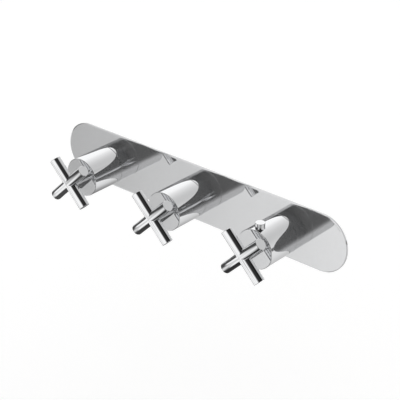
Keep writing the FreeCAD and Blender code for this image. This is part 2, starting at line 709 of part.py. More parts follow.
brackets = []
for side, label in ((-1, "Left"), (1, "Right")):
    bracket = new_body(f"Bracket{label}")
    x = S["lug_spacing"] * (side * 0.5)
    loop = new_sketch(bracket, "YZ_Plane", x - S["lug_radius"])
    draw_circle(loop, S["gallery_depth"], S["gallery_rise"], S["tube_radius"] + S["bracket_wall"])
    pad(bracket, loop, S["lug_radius"] * 2)
    lug_back = S["gallery_depth"] + S["tube_radius"] + S["bracket_wall"]
    strap = new_sketch(bracket, "XZ_Plane", -lug_back)
    draw_rectangle(strap, x - S["lug_radius"], -S["lug_drop"],
                   x + S["lug_radius"], S["gallery_rise"] - S["strap_drop"])
    pad(bracket, strap, S["lug_thick"])
    foot = new_sketch(bracket, "XZ_Plane", -lug_back)
    draw_circle(foot, x, -S["lug_drop"], S["lug_radius"])
    pad(bracket, foot, S["lug_thick"])
    hole = new_sketch(bracket, "XZ_Plane", S["lug_thick"] - lug_back)
    draw_circle(hole, x, -S["lug_drop"], S["lug_hole"])
    pocket(bracket, hole, S["lug_thick"])
    eye = new_sketch(bracket, "YZ_Plane", x - S["lug_radius"])
    draw_circle(eye, S["gallery_depth"], S["gallery_rise"], tube_bore)
    pocket(bracket, eye, S["lug_radius"] * 2, back=True)
    brackets.append(bracket)
group("fixing_brackets", brackets)

plug = keep(new_body("gallery_plug"))
plug_disc = new_sketch(plug, "YZ_Plane", left_low)
draw_circle(plug_disc, S["gallery_depth"], S["gallery_rise"], S["plug_radius"])
pad(plug, plug_disc, S["plug_length"] - S["free_gap"])
socket = new_sketch(plug, "YZ_Plane", left_low)
draw_rectangle(socket, S["gallery_depth"] - S["plug_key"], S["gallery_rise"] - S["plug_key"],
               S["gallery_depth"] + S["plug_key"], S["gallery_rise"] + S["plug_key"])
pocket(plug, socket, S["plug_length"] / 2, back=True)

# ---------------------------------------------------------------- cartridge nuts

nuts = []
for name, x in CONTROLS:
    nut = new_body(f"CartridgeNut_{name}", x)
    head = new_sketch(nut, "XZ_Plane", S["sleeve_end"])
    draw_hexagon(head, S["nut_flats"])
    draw_circle(head, ZERO, ZERO, S["neck_radius"] + S["free_gap"])
    pad(nut, head, S["nut_head"])
    turned(nut, [
        (S["neck_radius"] + S["free_gap"], nut_face),
        (S["mouth_radius"] - S["thread_gap"], nut_face),
        (S["mouth_radius"] - S["thread_gap"], -S["sleeve_end"]),
        (S["neck_radius"] + S["free_gap"], -S["sleeve_end"]),
    ])
    nuts.append(nut)
group("cartridge_nuts", nuts)


# ---------------------------------------------------------------- spindles, splines and clips

clip_y = -S["neck_end"] - S["free_gap"]
tooth_angle = 360 / S["spline_teeth"].value


def spline_teeth(body, root, tip, start, end):
    """Straight teeth along a control's axis, spaced evenly round it."""
    sketch = new_sketch(body, "XZ_Plane", -start)
    half = S["spline_width"] / 2
    draw_rectangle(sketch, root, -half, tip, half)
    tooth = pad(body, sketch, start - end)
    polar(body, [tooth], "Y_Axis", S["spline_teeth"])


def spindle_top():
    """Profile of a spindle from its clip groove to its splined end, outermost first."""
    return [
        (S["spline_root"], -S["spindle_end"]),
        (S["spline_root"], -S["spline_start"]),
        (S["stem_bore"] - S["slide_gap"], -S["spline_start"]),
        (S["stem_bore"] - S["slide_gap"], clip_y - S["clip_thick"] - S["slide_gap"]),
        (S["clip_groove"], clip_y - S["clip_thick"] - S["slide_gap"]),
        (S["clip_groove"], clip_y),
        (S["stem_bore"] - S["slide_gap"], clip_y),
    ]


def spindle_clip(label, x):
    clip = keep(new_body(label, x))
    turned(clip, [
        (S["clip_groove"] + S["fit_gap"], clip_y),
        (S["clip_radius"], clip_y),
        (S["clip_radius"], clip_y - S["clip_thick"]),
        (S["clip_groove"] + S["fit_gap"], clip_y - S["clip_thick"]),
    ], angle=300.0)


def housing_top(inner):
    """Profile shared by the cartridge housings, from the flange's underside to the bearing bore."""
    return [
        (S["chamber_radius"] - S["thread_gap"], nut_seat),
        (S["flange_radius"], nut_seat),
        (S["flange_radius"], nut_face),
        (S["neck_radius"], nut_face),
        (S["neck_radius"], -S["neck_end"]),
        (S["stem_bore"], -S["neck_end"]),
    ]


def ring_groove_at(y):
    """An O-ring groove centred at depth y, listed from deep to shallow."""
    outer = S["chamber_radius"] - S["thread_gap"]
    half = S["ring_groove"] / 2
    return [
        (outer, y + half),
        (S["ring_land"], y + half),
        (S["ring_land"], y - half),
        (outer, y - half),
    ]


ring_seats = []

# ---------------------------------------------------------------- flow cartridges

flow_end = S["chamber_floor"] - S["free_gap"]
flow_ring = -S["flow_ring"]
seat_front = S["rotor_front"] + S["rotor_thick"] + S["fit_gap"]
seat_back = seat_front + S["seat_thick"]
lip_seals = []
flow_housings = []
ceramic_seats = []
for name, x in FLOW_CONTROLS:
    housing = new_body(f"FlowHousing_{name}", x)
    flow_housings.append(housing)
    outer = S["chamber_radius"] - S["thread_gap"]
    turned(housing, [
        (S["disc_bore"], flow_end),
        (S["flow_skirt"], flow_end),
        (S["flow_skirt"], S["skirt_start"]),
        (outer, S["skirt_start"]),
        *ring_groove_at(flow_ring),
        *housing_top(S["stem_bore"]),
        (S["stem_bore"], -S["bearing_front"]),
        (S["driver_neck"] + S["slide_gap"], -S["bearing_front"]),
        (S["driver_neck"] + S["slide_gap"], S["driver_front"] - S["free_gap"]),
        (S["disc_bore"], S["driver_front"] - S["free_gap"]),
    ])
    windows = new_sketch(housing, "XY_Plane", S["chamber_radius"])
    half = S["window_width"] / 2
    draw_rectangle(windows, -half, S["driver_front"], half, S["driver_front"] + S["window_length"])
    pocket(housing, windows, S["chamber_radius"] * 2)
    ring_seats.append((f"FlowRing_{name}", x, flow_ring))

    spindle = keep(new_body(f"flow_spindle_{name}", x))
    driver_back = S["rotor_front"] - S["fit_gap"]
    turned(spindle, [
        (ZERO, driver_back),
        (ZERO, -S["spindle_end"]),
        *spindle_top(),
        (S["stem_bore"] - S["slide_gap"], S["free_gap"] - S["bearing_front"]),
        (S["driver_neck"], S["free_gap"] - S["bearing_front"]),
        (S["driver_neck"], S["driver_front"]),
        (S["driver_radius"], S["driver_front"]),
        (S["driver_radius"], driver_back),
    ])
    key = new_sketch(spindle, "XZ_Plane", -driver_back)
    draw_rectangle(key, S["key_length"] / -2, S["key_width"] / -2,
                   S["key_length"] / 2, S["key_width"] / 2)
    pad(spindle, key, S["key_depth"], back=True)
    spline_teeth(spindle, S["spline_root"] - S["spline_gap"], S["spline_tip"],
                 -S["spline_start"], -S["spindle_end"])
    spindle_clip(f"spindle_clip_{name}", x)

    rotor = keep(new_body(f"ceramic_rotor_{name}", x))
    disc = new_sketch(rotor, "XZ_Plane", -(S["rotor_front"] + S["rotor_thick"]))
    draw_circle(disc, ZERO, ZERO, S["disc_radius"])
    for side in (-1, 1):
        draw_circle(disc, ZERO, S["disc_ring"] * side, S["disc_port"])
    pad(rotor, disc, S["rotor_thick"])
    slot = new_sketch(rotor, "XZ_Plane", -S["rotor_front"])
    slot_long = S["key_length"] / 2 + S["thread_gap"]
    slot_wide = S["key_width"] / 2 + S["thread_gap"]
    draw_rectangle(slot, -slot_long, -slot_wide, slot_long, slot_wide)
    pocket(rotor, slot, S["key_depth"] + S["thread_gap"])

    seat = new_body(f"CeramicSeat_{name}", x)
    ceramic_seats.append(seat)
    disc = new_sketch(seat, "XZ_Plane", -seat_back)
    draw_circle(disc, ZERO, ZERO, S["disc_radius"])
    for side in (-1, 1):
        draw_circle(disc, S["disc_ring"] * side, ZERO, S["disc_port"])
    pad(seat, disc, S["seat_thick"])

    lip = new_body(f"LipSeal_{name}", x)
    turned(lip, [
        (S["disc_ring"] + S["disc_port"], seat_back),
        (S["disc_radius"], seat_back),
        (S["disc_radius"], S["chamber_floor"]),
        (S["disc_ring"] + S["disc_port"], S["chamber_floor"]),
    ])
    lip_seals.append(lip)
group("flow_housings", flow_housings)
group("ceramic_seats", ceramic_seats)
group("disc_lip_seals", lip_seals)

# ---------------------------------------------------------------- thermostat cartridge

outer = S["chamber_radius"] - S["thread_gap"]
half_annulus = S["annulus_width"] / 2
ring_front_y = -S["thermo_ring"]
ring_middle_y = (S["hot_depth"] + S["cold_depth"]) / 2
ring_rear_y = S["cold_depth"] + (S["cold_depth"] - S["hot_depth"]) / 2
housing_end = S["thermo_end"]


def annulus_at(y):
    return [
        (outer, y + half_annulus),
        (S["annulus_radius"], y + half_annulus),
        (S["annulus_radius"], y - half_annulus),
        (outer, y - half_annulus),
    ]


thermo = keep(new_body("thermo_housing", right))
turned(thermo, [
    (S["disc_bore"], housing_end),
    (outer, housing_end),
    *ring_groove_at(ring_rear_y),
    *annulus_at(S["cold_depth"]),
    *ring_groove_at(ring_middle_y),
    *annulus_at(S["hot_depth"]),
    *ring_groove_at(ring_front_y),
    *housing_top(S["stem_bore"]),
    (S["stem_bore"], -S["pusher_shoulder"]),
    (S["pusher_bore"], -S["pusher_shoulder"]),
    (S["pusher_bore"], S["spool_bore_front"]),
    (S["disc_bore"], S["spool_bore_front"]),
])
for y in (S["hot_depth"], S["cold_depth"]):
    low, high = y - S["slot_length"] / 2, y + S["slot_length"] / 2
    slots = new_sketch(thermo, "XY_Plane", outer)
    draw_rectangle(slots, S["slot_width"] / -2, low, S["slot_width"] / 2, high)
    pocket(thermo, slots, outer * 2)
for label, y in (("Front", ring_front_y), ("Middle", ring_middle_y), ("Rear", ring_rear_y)):
    ring_seats.append((f"ThermoRing{label}", right, y))

cage = keep(new_body("thermo_cage", right))
turned(cage, [
    (S["disc_bore"], housing_end),
    (S["cage_radius"], housing_end),
    (S["cage_radius"], S["cage_end"]),
    (ZERO, S["cage_end"]),
    (ZERO, S["cage_end"] - S["cage_base"]),
    (S["disc_bore"], S["cage_end"] - S["cage_base"]),
])
window_low = housing_end + S["cage_base"]
windows = new_sketch(cage, "YZ_Plane", S["cage_radius"])
half = S["window_width"] / 2
draw_rectangle(windows, window_low, -half, window_low + S["cage_window"], half)
pocket(cage, windows, S["cage_radius"] * 2)

temp_spindle = keep(new_body("temp_spindle", right))
thrust_front = S["free_gap"] - S["pusher_shoulder"]
turned(temp_spindle, [
    (ZERO, -S["screw_end"]),
    (ZERO, -S["spindle_end"]),
    *spindle_top(),
    (S["stem_bore"] - S["slide_gap"], thrust_front),
    (S["thrust_radius"], thrust_front),
    (S["thrust_radius"], thrust_front + S["thrust_thick"]),
    (S["screw_radius"], thrust_front + S["thrust_thick"]),
    (S["screw_radius"], -S["screw_end"]),
])
spline_teeth(temp_spindle, S["spline_root"] - S["spline_gap"], S["spline_tip"],
             -S["spline_start"], -S["spindle_end"])
spindle_clip("spindle_clip_right", right)

pusher = keep(new_body("spindle_nut", right))
turned(pusher, [
    (S["screw_radius"] + S["slide_gap"], -S["pusher_front"]),
    (S["pusher_bore"] - S["slide_gap"], -S["pusher_front"]),
    (S["pusher_bore"] - S["slide_gap"], S["pusher_back"]),
    (S["pusher_cup"], S["pusher_back"]),
    (S["pusher_cup"], -S["pusher_floor"]),
    (S["screw_radius"] + S["slide_gap"], -S["pusher_floor"]),
])

plunger = keep(new_body("overload_plunger", right))
turned(plunger, [
    (ZERO, -S["plunger_front"]),
    (S["plunger_radius"], -S["plunger_front"]),
    (S["plunger_radius"], S["plunger_back"]),
    (ZERO, S["plunger_back"]),
])

element = keep(new_body("wax_element", right))
web_front = S["spool_front"] + (S["spool_length"] - S["web_thick"]) / 2
flange_back = web_front - S["fit_gap"]
turned(element, [
    (ZERO, S["plunger_back"]),
    (S["piston_radius"], S["plunger_back"]),
    (S["piston_radius"], S["element_front"]),
    (S["element_radius"], S["element_front"]),
    (S["element_radius"], flange_back - S["web_thick"]),
    (S["collar_radius"], flange_back - S["web_thick"]),
    (S["collar_radius"], flange_back),
    (S["element_radius"], flange_back),
    (S["element_radius"], S["element_back"] - S["piston_radius"]),
    (S["element_radius"] - S["piston_radius"], S["element_back"]),
    (ZERO, S["element_back"]),
])

spool = keep(new_body("thermo_spool", right))
spool_outer = S["disc_bore"] - S["slide_gap"]
spool_inner = spool_outer - S["spool_wall"]
spool_back = S["spool_front"] + S["spool_length"]
web_back = web_front + S["web_thick"]
turned(spool, [
    (spool_inner, S["spool_front"]),
    (spool_outer, S["spool_front"]),
    (spool_outer, spool_back),
    (spool_inner, spool_back),
    (spool_inner, web_back),
    (S["element_radius"] + S["slide_gap"], web_back),
    (S["element_radius"] + S["slide_gap"], web_front),
    (spool_inner, web_front),
])
hole = new_sketch(spool, "XZ_Plane", -web_front)
draw_circle(hole, (spool_inner + S["element_radius"]) / 2 + S["slide_gap"], ZERO, S["web_hole"])
first_hole = pocket(spool, hole, S["web_thick"])
polar(spool, [first_hole], "Y_Axis", S["hole_count"])

group("chamber_seals", [
    o_ring(name, x, y, S["ring_land"] + S["ring_wire"] + S["slide_gap"] / 4, S["ring_wire"])
    for name, x, y in ring_seats
])

# ---------------------------------------------------------------- springs of the thermostat

return_start = web_back + S["return_wire"] + S["slide_gap"]
return_end = S["cage_end"] - S["cage_base"] - S["return_wire"] - S["slide_gap"]
return_spring = keep(new_body("return_spring", right))
coil(return_spring, "XY_Plane", S["return_coil"] - S["return_wire"], S["return_wire"],
     return_start, return_end - return_start, S["return_turns"])

overload_spring = keep(new_body("overload_spring", right))
overload_start = S["slide_gap"] - S["pusher_floor"]
overload_end = -S["plunger_front"] - S["slide_gap"]
sleeve(overload_spring, "XY_Plane", S["overload_coil"], S["overload_wire"],
       overload_start, overload_end)

# ---------------------------------------------------------------- temperature stop ring

stop_ring = keep(new_body("stop_ring", right))
ring_back_y = S["ring_thick"] - S["ring_front"]
turned(stop_ring, [
    (S["neck_radius"] + S["fit_gap"], -S["ring_front"]),
    (S["ring_radius"], -S["ring_front"]),
    (S["ring_radius"], ring_back_y),
    (S["neck_radius"] + S["fit_gap"], ring_back_y),
])
tooth_half = math.degrees(math.asin(
    (S["arm_width"].value / 2 + S["stop_gap"].value) / S["lug_floor"].value))
lug_start = tooth_half + S["lug_arc"].value
for stop_at in (-90.0 - lug_start, S["turn_to_cold"].value - 90.0 + tooth_half):
    lug = new_sketch(stop_ring, "XY_Plane")
    lug.AttachmentOffset = Placement(Vector(0, 0, 0), Rotation(Vector(0, 1, 0), stop_at))
    draw_rectangle(lug, S["lug_floor"], -S["ring_front"] - S["lug_reach"],
                   S["ring_radius"], -S["ring_front"])
    turn = stop_ring.newObject("PartDesign::Revolution", "StopLug")
    turn.Profile = lug
    turn.ReferenceAxis = (lug, ["V_Axis"])
    bind(turn, "Angle", S["lug_arc"])

# ---------------------------------------------------------------- handle bodies, crosses and their fixings

face_back = handle_front + S["disc_thick"]
hub_floor = handle_front + S["face_thick"]
tenon_end = handle_front + S["tenon_length"]
for name, x in CONTROLS:
    handle = keep(new_body(f"handle_body_{name}", x))
    turned(handle, [
        (S["tenon_radius"] + S["fit_gap"], handle_front),
        (S["body_radius"] - S["handle_edge"], handle_front),
        (S["body_radius"], handle_front + S["handle_edge"]),
        (S["body_radius"], handle_back - S["seam_edge"]),
        (S["body_radius"] - S["seam_edge"], handle_back),
        (cavity_radius, handle_back),
        (cavity_radius, face_back),
        (S["hub_radius"], face_back),
        (S["hub_radius"], -S["hub_start"]),
        (S["hub_bore"], -S["hub_start"]),
        (S["hub_bore"], hub_floor),
        (S["tenon_radius"] + S["fit_gap"], hub_floor),
    ])
    if name == "right":
        seat_pad = new_sketch(handle, "XY_Plane", S["hub_bore"] + S["pad_root"])
        draw_circle(seat_pad, ZERO, -S["button_place"], S["pad_radius"])
        pad(handle, seat_pad, S["pad_top"] - S["hub_bore"] - S["pad_root"])
        button_hole = new_sketch(handle, "XY_Plane", S["body_radius"])
        draw_circle(button_hole, ZERO, -S["button_place"],
                    S["button_radius"] + S["button_hole_gap"])
        pocket(handle, button_hole, S["body_radius"] - S["pad_top"] - S["free_gap"])
    grub_access = new_sketch(handle, "XY_Plane", -S["body_radius"])
    draw_circle(grub_access, ZERO, -S["grub_place"], S["access_radius"])
    pocket(handle, grub_access, S["body_radius"] - S["hub_radius"] - S["free_gap"], back=True)
    grub_thread = new_sketch(handle, "XY_Plane", -S["hub_radius"])
    draw_circle(grub_thread, ZERO, -S["grub_place"], S["grub_radius"] + S["fit_gap"])
    pocket(handle, grub_thread, S["hub_radius"] - S["hub_bore"] / 2, back=True)

    cross = keep(new_body(f"cross_handle_{name}", x, cross_centre))
    cross.Placement = Placement(
        Vector(x.value, cross_centre.value, 0),
        Rotation(Vector(0, 1, 0), S["cross_angle"].value))
    tip = S["cross_span"] / 2
    chamfer = S["rod_edge"]
    r = S["rod_radius"]
    revolve(cross, "XY_Plane", [
        (-tip, ZERO), (tip, ZERO), (tip, r - chamfer), (tip - chamfer, r),
        (chamfer - tip, r), (-tip, r - chamfer),
    ], "H_Axis")
    revolve(cross, "YZ_Plane", [
        (ZERO, -tip), (r - chamfer, -tip), (r, chamfer - tip),
        (r, tip - chamfer), (r - chamfer, tip), (ZERO, tip),
    ], "V_Axis")
    stem_length = handle_front - cross_centre
    turned(cross, [
        (ZERO, ZERO),
        (S["stem_radius"], ZERO),
        (S["stem_radius"], stem_length),
        (S["tenon_radius"], stem_length),
        (S["tenon_radius"], stem_length + S["tenon_length"]),
        (ZERO, stem_length + S["tenon_length"]),
    ])

    insert = keep(new_body(f"spline_insert_{name}", x))
    turned(insert, [
        (S["spline_tip"] + S["spline_gap"], -S["hub_start"]),
        (S["hub_bore"] - S["fit_gap"], -S["hub_start"]),
        (S["hub_bore"] - S["fit_gap"], -S["spindle_end"]),
        (S["spline_tip"] + S["spline_gap"], -S["spindle_end"]),
    ])
    inner_teeth = new_sketch(insert, "XZ_Plane", S["hub_start"])
    half_gap = math.radians(tooth_angle / 2)
    along = Vector(math.cos(half_gap), math.sin(half_gap), 0)
    across = Vector(-math.sin(half_gap), math.cos(half_gap), 0)
    low = S["spline_root"] + S["spline_gap"]
    high = S["spline_tip"] + S["spline_gap"] * 2
    half = S["spline_width"] / 2
    corners = []
    for radius, side in ((low, -1), (high, -1), (high, 1), (low, 1)):
        corners.append((radius * along.x + half * (side * across.x),
                        radius * along.y + half * (side * across.y)))
    draw_polygon(inner_teeth, corners)
    one_tooth = pad(insert, inner_teeth, S["spindle_end"] - S["hub_start"])
    polar(insert, [one_tooth], "Y_Axis", S["spline_teeth"])

    grub = keep(new_body(f"grub_screw_{name}", x, -S["grub_place"]))
    grub_inner = S["hub_bore"] + S["fit_gap"]
    shank = new_sketch(grub, "XY_Plane", -grub_inner)
    draw_circle(shank, ZERO, ZERO, S["grub_radius"])
    pad(grub, shank, S["grub_length"], back=True)
    key_hole = new_sketch(grub, "XY_Plane", -(grub_inner + S["grub_length"]))
    draw_hexagon(key_hole, S["grub_hex"])
    pocket(grub, key_hole, S["grub_length"] / 2, back=True)

# ---------------------------------------------------------------- override button

button = keep(new_body("override_button", right))
button_top = S["body_radius"] + S["button_stand"]
flange = new_sketch(button, "XY_Plane", S["flange_low"])
draw_rectangle(flange, -S["button_flange"], face_back + S["free_gap"],
               S["button_flange"], S["button_flange"] - S["button_place"])
pad(button, flange, S["flange_top"] - S["flange_low"])
arm = new_sketch(button, "XY_Plane", S["flange_low"])
draw_rectangle(arm, S["arm_width"] / -2, -S["button_place"], S["arm_width"] / 2, -S["tooth_back"])
pad(button, arm, S["flange_top"] - S["flange_low"])
tooth = new_sketch(button, "XY_Plane", S["tooth_low"])
draw_rectangle(tooth, S["arm_width"] / -2, -(S["tooth_back"] + S["tooth_length"]),
               S["arm_width"] / 2, -S["tooth_back"])
pad(button, tooth, S["tooth_top"] - S["tooth_low"])
peg = new_sketch(button, "XY_Plane", S["peg_low"])
draw_circle(peg, ZERO, -S["button_place"], S["peg_radius"])
pad(button, peg, S["flange_top"] - S["peg_low"])
cap = new_sketch(button, "XY_Plane", S["flange_low"])
draw_circle(cap, ZERO, -S["button_place"], S["button_radius"])
cap_pad = pad(button, cap, button_top - S["flange_low"])
doc.recompute()
top_rim = [
    f"Edge{i}"
    for i, edge in enumerate(cap_pad.Shape.Edges, start=1)
    if edge.BoundBox.ZMin > button_top.value - 1e-6
]
cap_edge = button.newObject("PartDesign::Chamfer", "ButtonEdge")
cap_edge.Base = (cap_pad, top_rim)
bind(cap_edge, "Size", S["button_edge"])

button_spring = keep(new_body("button_spring", right, -S["button_place"]))
spring_low = S["pad_top"] + S["slide_gap"]
spring_high = S["flange_low"] - S["slide_gap"]
sleeve(button_spring, "XZ_Plane", S["button_coil"], S["button_wire"], spring_low, spring_high)

# ---------------------------------------------------------------- inlet strainers and check valves

strainer_low = inlet_floor + S["slide_gap"]
strainers = []
valve_outer = S["inlet_radius"] - S["thread_gap"]
valve_inner = valve_outer - S["valve_wall"]
valve_low = strainer_low + S["strainer_height"] + S["thread_gap"]
valve_high = valve_low + S["valve_length"]
seat_top = valve_low + S["valve_end"]
guide_low = valve_high - S["valve_end"]
for name, x in (("hot", hot_x), ("cold", cold_x)):
    strainer = new_body(f"Strainer_{name}", x, S["port_depth"])
    rim_inner = valve_outer - S["strainer_wall"]
    revolve(strainer, "XZ_Plane", [
        (ZERO, strainer_low + S["strainer_height"] - S["mesh_thick"]),
        (rim_inner, strainer_low + S["strainer_height"] - S["mesh_thick"]),
        (rim_inner, strainer_low),
        (valve_outer, strainer_low),
        (valve_outer, strainer_low + S["strainer_height"]),
        (ZERO, strainer_low + S["strainer_height"]),
    ])
    mesh = new_sketch(strainer, "XY_Plane", strainer_low + S["strainer_height"])
    draw_circle(mesh, S["mesh_ring"], ZERO, S["mesh_hole"])
    first_mesh = pocket(strainer, mesh, S["mesh_thick"])
    polar(strainer, [first_mesh], "Z_Axis", S["hole_count"])
    strainers.append(strainer)

    valve = keep(new_body(f"check_body_{name}", x, S["port_depth"]))
    revolve(valve, "XZ_Plane", [
        (S["valve_seat"], valve_low),
        (valve_outer, valve_low),
        (valve_outer, valve_high),
        (S["poppet_stem"] + S["slide_gap"], valve_high),
        (S["poppet_stem"] + S["slide_gap"], guide_low),
        (valve_inner, guide_low),
        (valve_inner, seat_top),
        (S["valve_seat"], seat_top),
    ])
    guide = new_sketch(valve, "XY_Plane", valve_high)
    draw_circle(guide, (valve_inner + S["poppet_stem"]) / 2 + S["slide_gap"], ZERO, S["guide_hole"])
    first_guide = pocket(valve, guide, S["valve_end"])
    polar(valve, [first_guide], "Z_Axis", S["hole_count"])

    poppet = keep(new_body(f"check_poppet_{name}", x, S["port_depth"]))
    poppet_low = seat_top + S["fit_gap"]
    revolve(poppet, "XZ_Plane", [
        (ZERO, poppet_low),
        (S["poppet_radius"], poppet_low),
        (S["poppet_radius"], poppet_low + S["poppet_thick"]),
        (S["poppet_stem"], poppet_low + S["poppet_thick"]),
        (S["poppet_stem"], poppet_low + S["stem_length"]),
        (ZERO, poppet_low + S["stem_length"]),
    ])

    valve_spring = keep(new_body(f"check_spring_{name}", x, S["port_depth"]))
    coil_low = poppet_low + S["poppet_thick"] + S["slide_gap"]
    coil_high = guide_low - S["slide_gap"]
    sleeve(valve_spring, "XZ_Plane", S["valve_coil"], S["valve_wire"], coil_low, coil_high)
group("inlet_strainers", strainers)

# ---------------------------------------------------------------- check and write

doc.recompute()
bad = [thing.Name for thing in doc.Objects if "Invalid" in thing.State or "Error" in thing.State]
if bad:
    raise RuntimeError(f"objects that did not build: {bad}")
for piece in parts:
    shape = piece.Shape
    if shape.isNull() or not shape.isValid():
        raise RuntimeError(f"{piece.Label} has no valid shape")
for piece in parts:
    piece.Shape.exportStep(f"parts/{piece.Label}.step")
    print(f"{piece.Label}: {len(piece.Shape.Solids)} solid(s), {piece.Shape.Volume:.1f} mm3")
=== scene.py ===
"""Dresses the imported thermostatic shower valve: three cross handles on an obround wall plate.

The CAD model is the fixed frame. Sizes in the classes are millimetres in that frame (x along the
plate, y into the wall, z up), and become metres where a mesh is made.
"""

import json
import logging
import math
from dataclasses import dataclass
from enum import Enum
from typing import Any, Callable, Iterable, Sequence

import bmesh
import bpy
from mathutils import Matrix, Vector

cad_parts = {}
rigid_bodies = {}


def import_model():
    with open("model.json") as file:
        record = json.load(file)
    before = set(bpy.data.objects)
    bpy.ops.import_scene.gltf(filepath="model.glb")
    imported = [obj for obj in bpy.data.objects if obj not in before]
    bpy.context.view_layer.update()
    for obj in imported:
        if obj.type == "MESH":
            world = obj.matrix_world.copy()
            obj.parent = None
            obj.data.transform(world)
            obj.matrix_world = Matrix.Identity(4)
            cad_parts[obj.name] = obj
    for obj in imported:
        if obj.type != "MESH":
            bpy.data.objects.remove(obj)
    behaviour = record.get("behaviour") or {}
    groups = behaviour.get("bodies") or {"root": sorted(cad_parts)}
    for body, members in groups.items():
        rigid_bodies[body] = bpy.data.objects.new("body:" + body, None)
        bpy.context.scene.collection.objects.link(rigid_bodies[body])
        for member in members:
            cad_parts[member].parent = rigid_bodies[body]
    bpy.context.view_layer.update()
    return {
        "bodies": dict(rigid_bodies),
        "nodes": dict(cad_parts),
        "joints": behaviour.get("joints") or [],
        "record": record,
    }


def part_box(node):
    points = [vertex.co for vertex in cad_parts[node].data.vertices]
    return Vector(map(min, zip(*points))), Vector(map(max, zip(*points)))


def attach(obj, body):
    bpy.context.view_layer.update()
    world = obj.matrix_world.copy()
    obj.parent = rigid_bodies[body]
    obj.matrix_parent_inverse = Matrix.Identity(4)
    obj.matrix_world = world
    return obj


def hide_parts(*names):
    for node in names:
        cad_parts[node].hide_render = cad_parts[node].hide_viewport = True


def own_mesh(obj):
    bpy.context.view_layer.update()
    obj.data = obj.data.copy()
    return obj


MM = 0.001
LOG = logging.getLogger("shower_valve")
Corner = tuple[float, float]
Colour = tuple[float, float, float]
Shape = bmesh.types.BMesh
Vert = bmesh.types.BMVert
Edge = bmesh.types.BMEdge
Face = bmesh.types.BMFace
Thing = bpy.types.Object
Socket = bpy.types.NodeSocket


class Control(Enum):
    """The three controls: node suffix, place along the plate and the body that they turn with."""

    LEFT = ("left", -140.0, "left_control")
    MIDDLE = ("middle", 0.0, "middle_control")
    RIGHT = ("right", 140.0, "temp_control")

    @property
    def suffix(self) -> str:
        """The end of the control's node names."""
        return self.value[0]

    @property
    def x(self) -> float:
        """The control's axis along the plate."""
        return self.value[1]

    @property
    def body(self) -> str:
        """The moving body of the control's handle."""
        return self.value[2]


class Join(Enum):
    """How a tool shape works on a base shape."""

    ADD = "UNION"
    CUT = "DIFFERENCE"


# ------------------------------------------------------------------ node trees


class NodeSheet:
    """A node tree written as short expressions."""

    def __init__(self, tree: bpy.types.NodeTree) -> None:
        """Empties a tree and keeps it."""
        self.tree = tree
        tree.nodes.clear()

    def add(self, kind: str, **settings: object) -> bpy.types.Node:
        """Adds a node.

        Args:
            kind: the node's type name.
            settings: values for the node's own properties.

        Returns:
            The new node.
        """
        node = self.tree.nodes.new(kind)
        for key, value in settings.items():
            setattr(node, key, value)
        return node

    def feed(self, socket: Socket, value: object) -> None:
        """Links an output to a socket, or sets the socket to a number or colour."""
        if isinstance(value, Socket):
            self.tree.links.new(value, socket)
        else:
            socket.default_value = value

    def math(self, operation: str, *values: object) -> Socket:
        """A scalar sum, product or other Math operation on numbers or outputs."""
        node = self.add("ShaderNodeMath", operation=operation)
        for socket, value in zip(node.inputs, values):
            self.feed(socket, value)
        return node.outputs[0]

    def dot(self, vector: object, axis: Sequence[float]) -> Socket:
        """The part of a vector that lies along an axis."""
        node = self.add("ShaderNodeVectorMath", operation="DOT_PRODUCT")
        self.feed(node.inputs[0], vector)
        self.feed(node.inputs[1], tuple(axis))
        return node.outputs["Value"]

    def ramp(self, value: object, low: float, high: float,
             start: float = 0.0, end: float = 1.0) -> Socket:
        """A smooth step.

        Args:
            value: the number or output that is looked up.
            low: where the step starts.
            high: where the step ends.
            start: the result below low.
            end: the result above high.

        Returns:
            The step's output.
        """
        node = self.add("ShaderNodeMapRange", interpolation_type="SMOOTHSTEP", clamp=True)
        for key, number in (("Value", value), ("From Min", low), ("From Max", high),
                            ("To Min", start), ("To Max", end)):
            self.feed(node.inputs[key], number)
        return node.outputs["Result"]

    def blend(self, factor: object, first: object, second: object) -> Socket:
        """A number between two numbers."""
        node = self.add("ShaderNodeMix", data_type="FLOAT")
        for socket, value in zip(node.inputs[:1] + node.inputs[2:4], (factor, first, second)):
            self.feed(socket, value)
        return node.outputs[0]

    def tint(self, factor: object, first: Colour, second: Colour) -> Socket:
        """A colour between two colours."""
        node = self.add("ShaderNodeMix", data_type="RGBA")
        self.feed(node.inputs[0], factor)
        self.feed(node.inputs[6], (*first, 1.0))
        self.feed(node.inputs[7], (*second, 1.0))
        return node.outputs[2]

    def noise(self, vector: object, scale: float, detail: float = 3.0,
              rough: float = 0.5) -> Socket:
        """Soft random variation.

        Args:
            vector: the place that is looked up.
            scale: cells per metre.
            detail: octaves.
            rough: weight of the finer octaves.

        Returns:
            The variation, about one half on average.
        """
        node = self.add("ShaderNodeTexNoise")
        for key, value in (("Vector", vector), ("Scale", scale), ("Detail", detail),
                           ("Roughness", rough)):
            self.feed(node.inputs[key], value)
        return node.outputs["Fac"]

    def stretch(self, vector: object, scale: Sequence[float]) -> Socket:
        """The same places on axes that are stretched."""
        node = self.add("ShaderNodeMapping")
        self.feed(node.inputs["Vector"], vector)
        self.feed(node.inputs["Scale"], tuple(scale))
        return node.outputs[0]


# ------------------------------------------------------------------ finishes


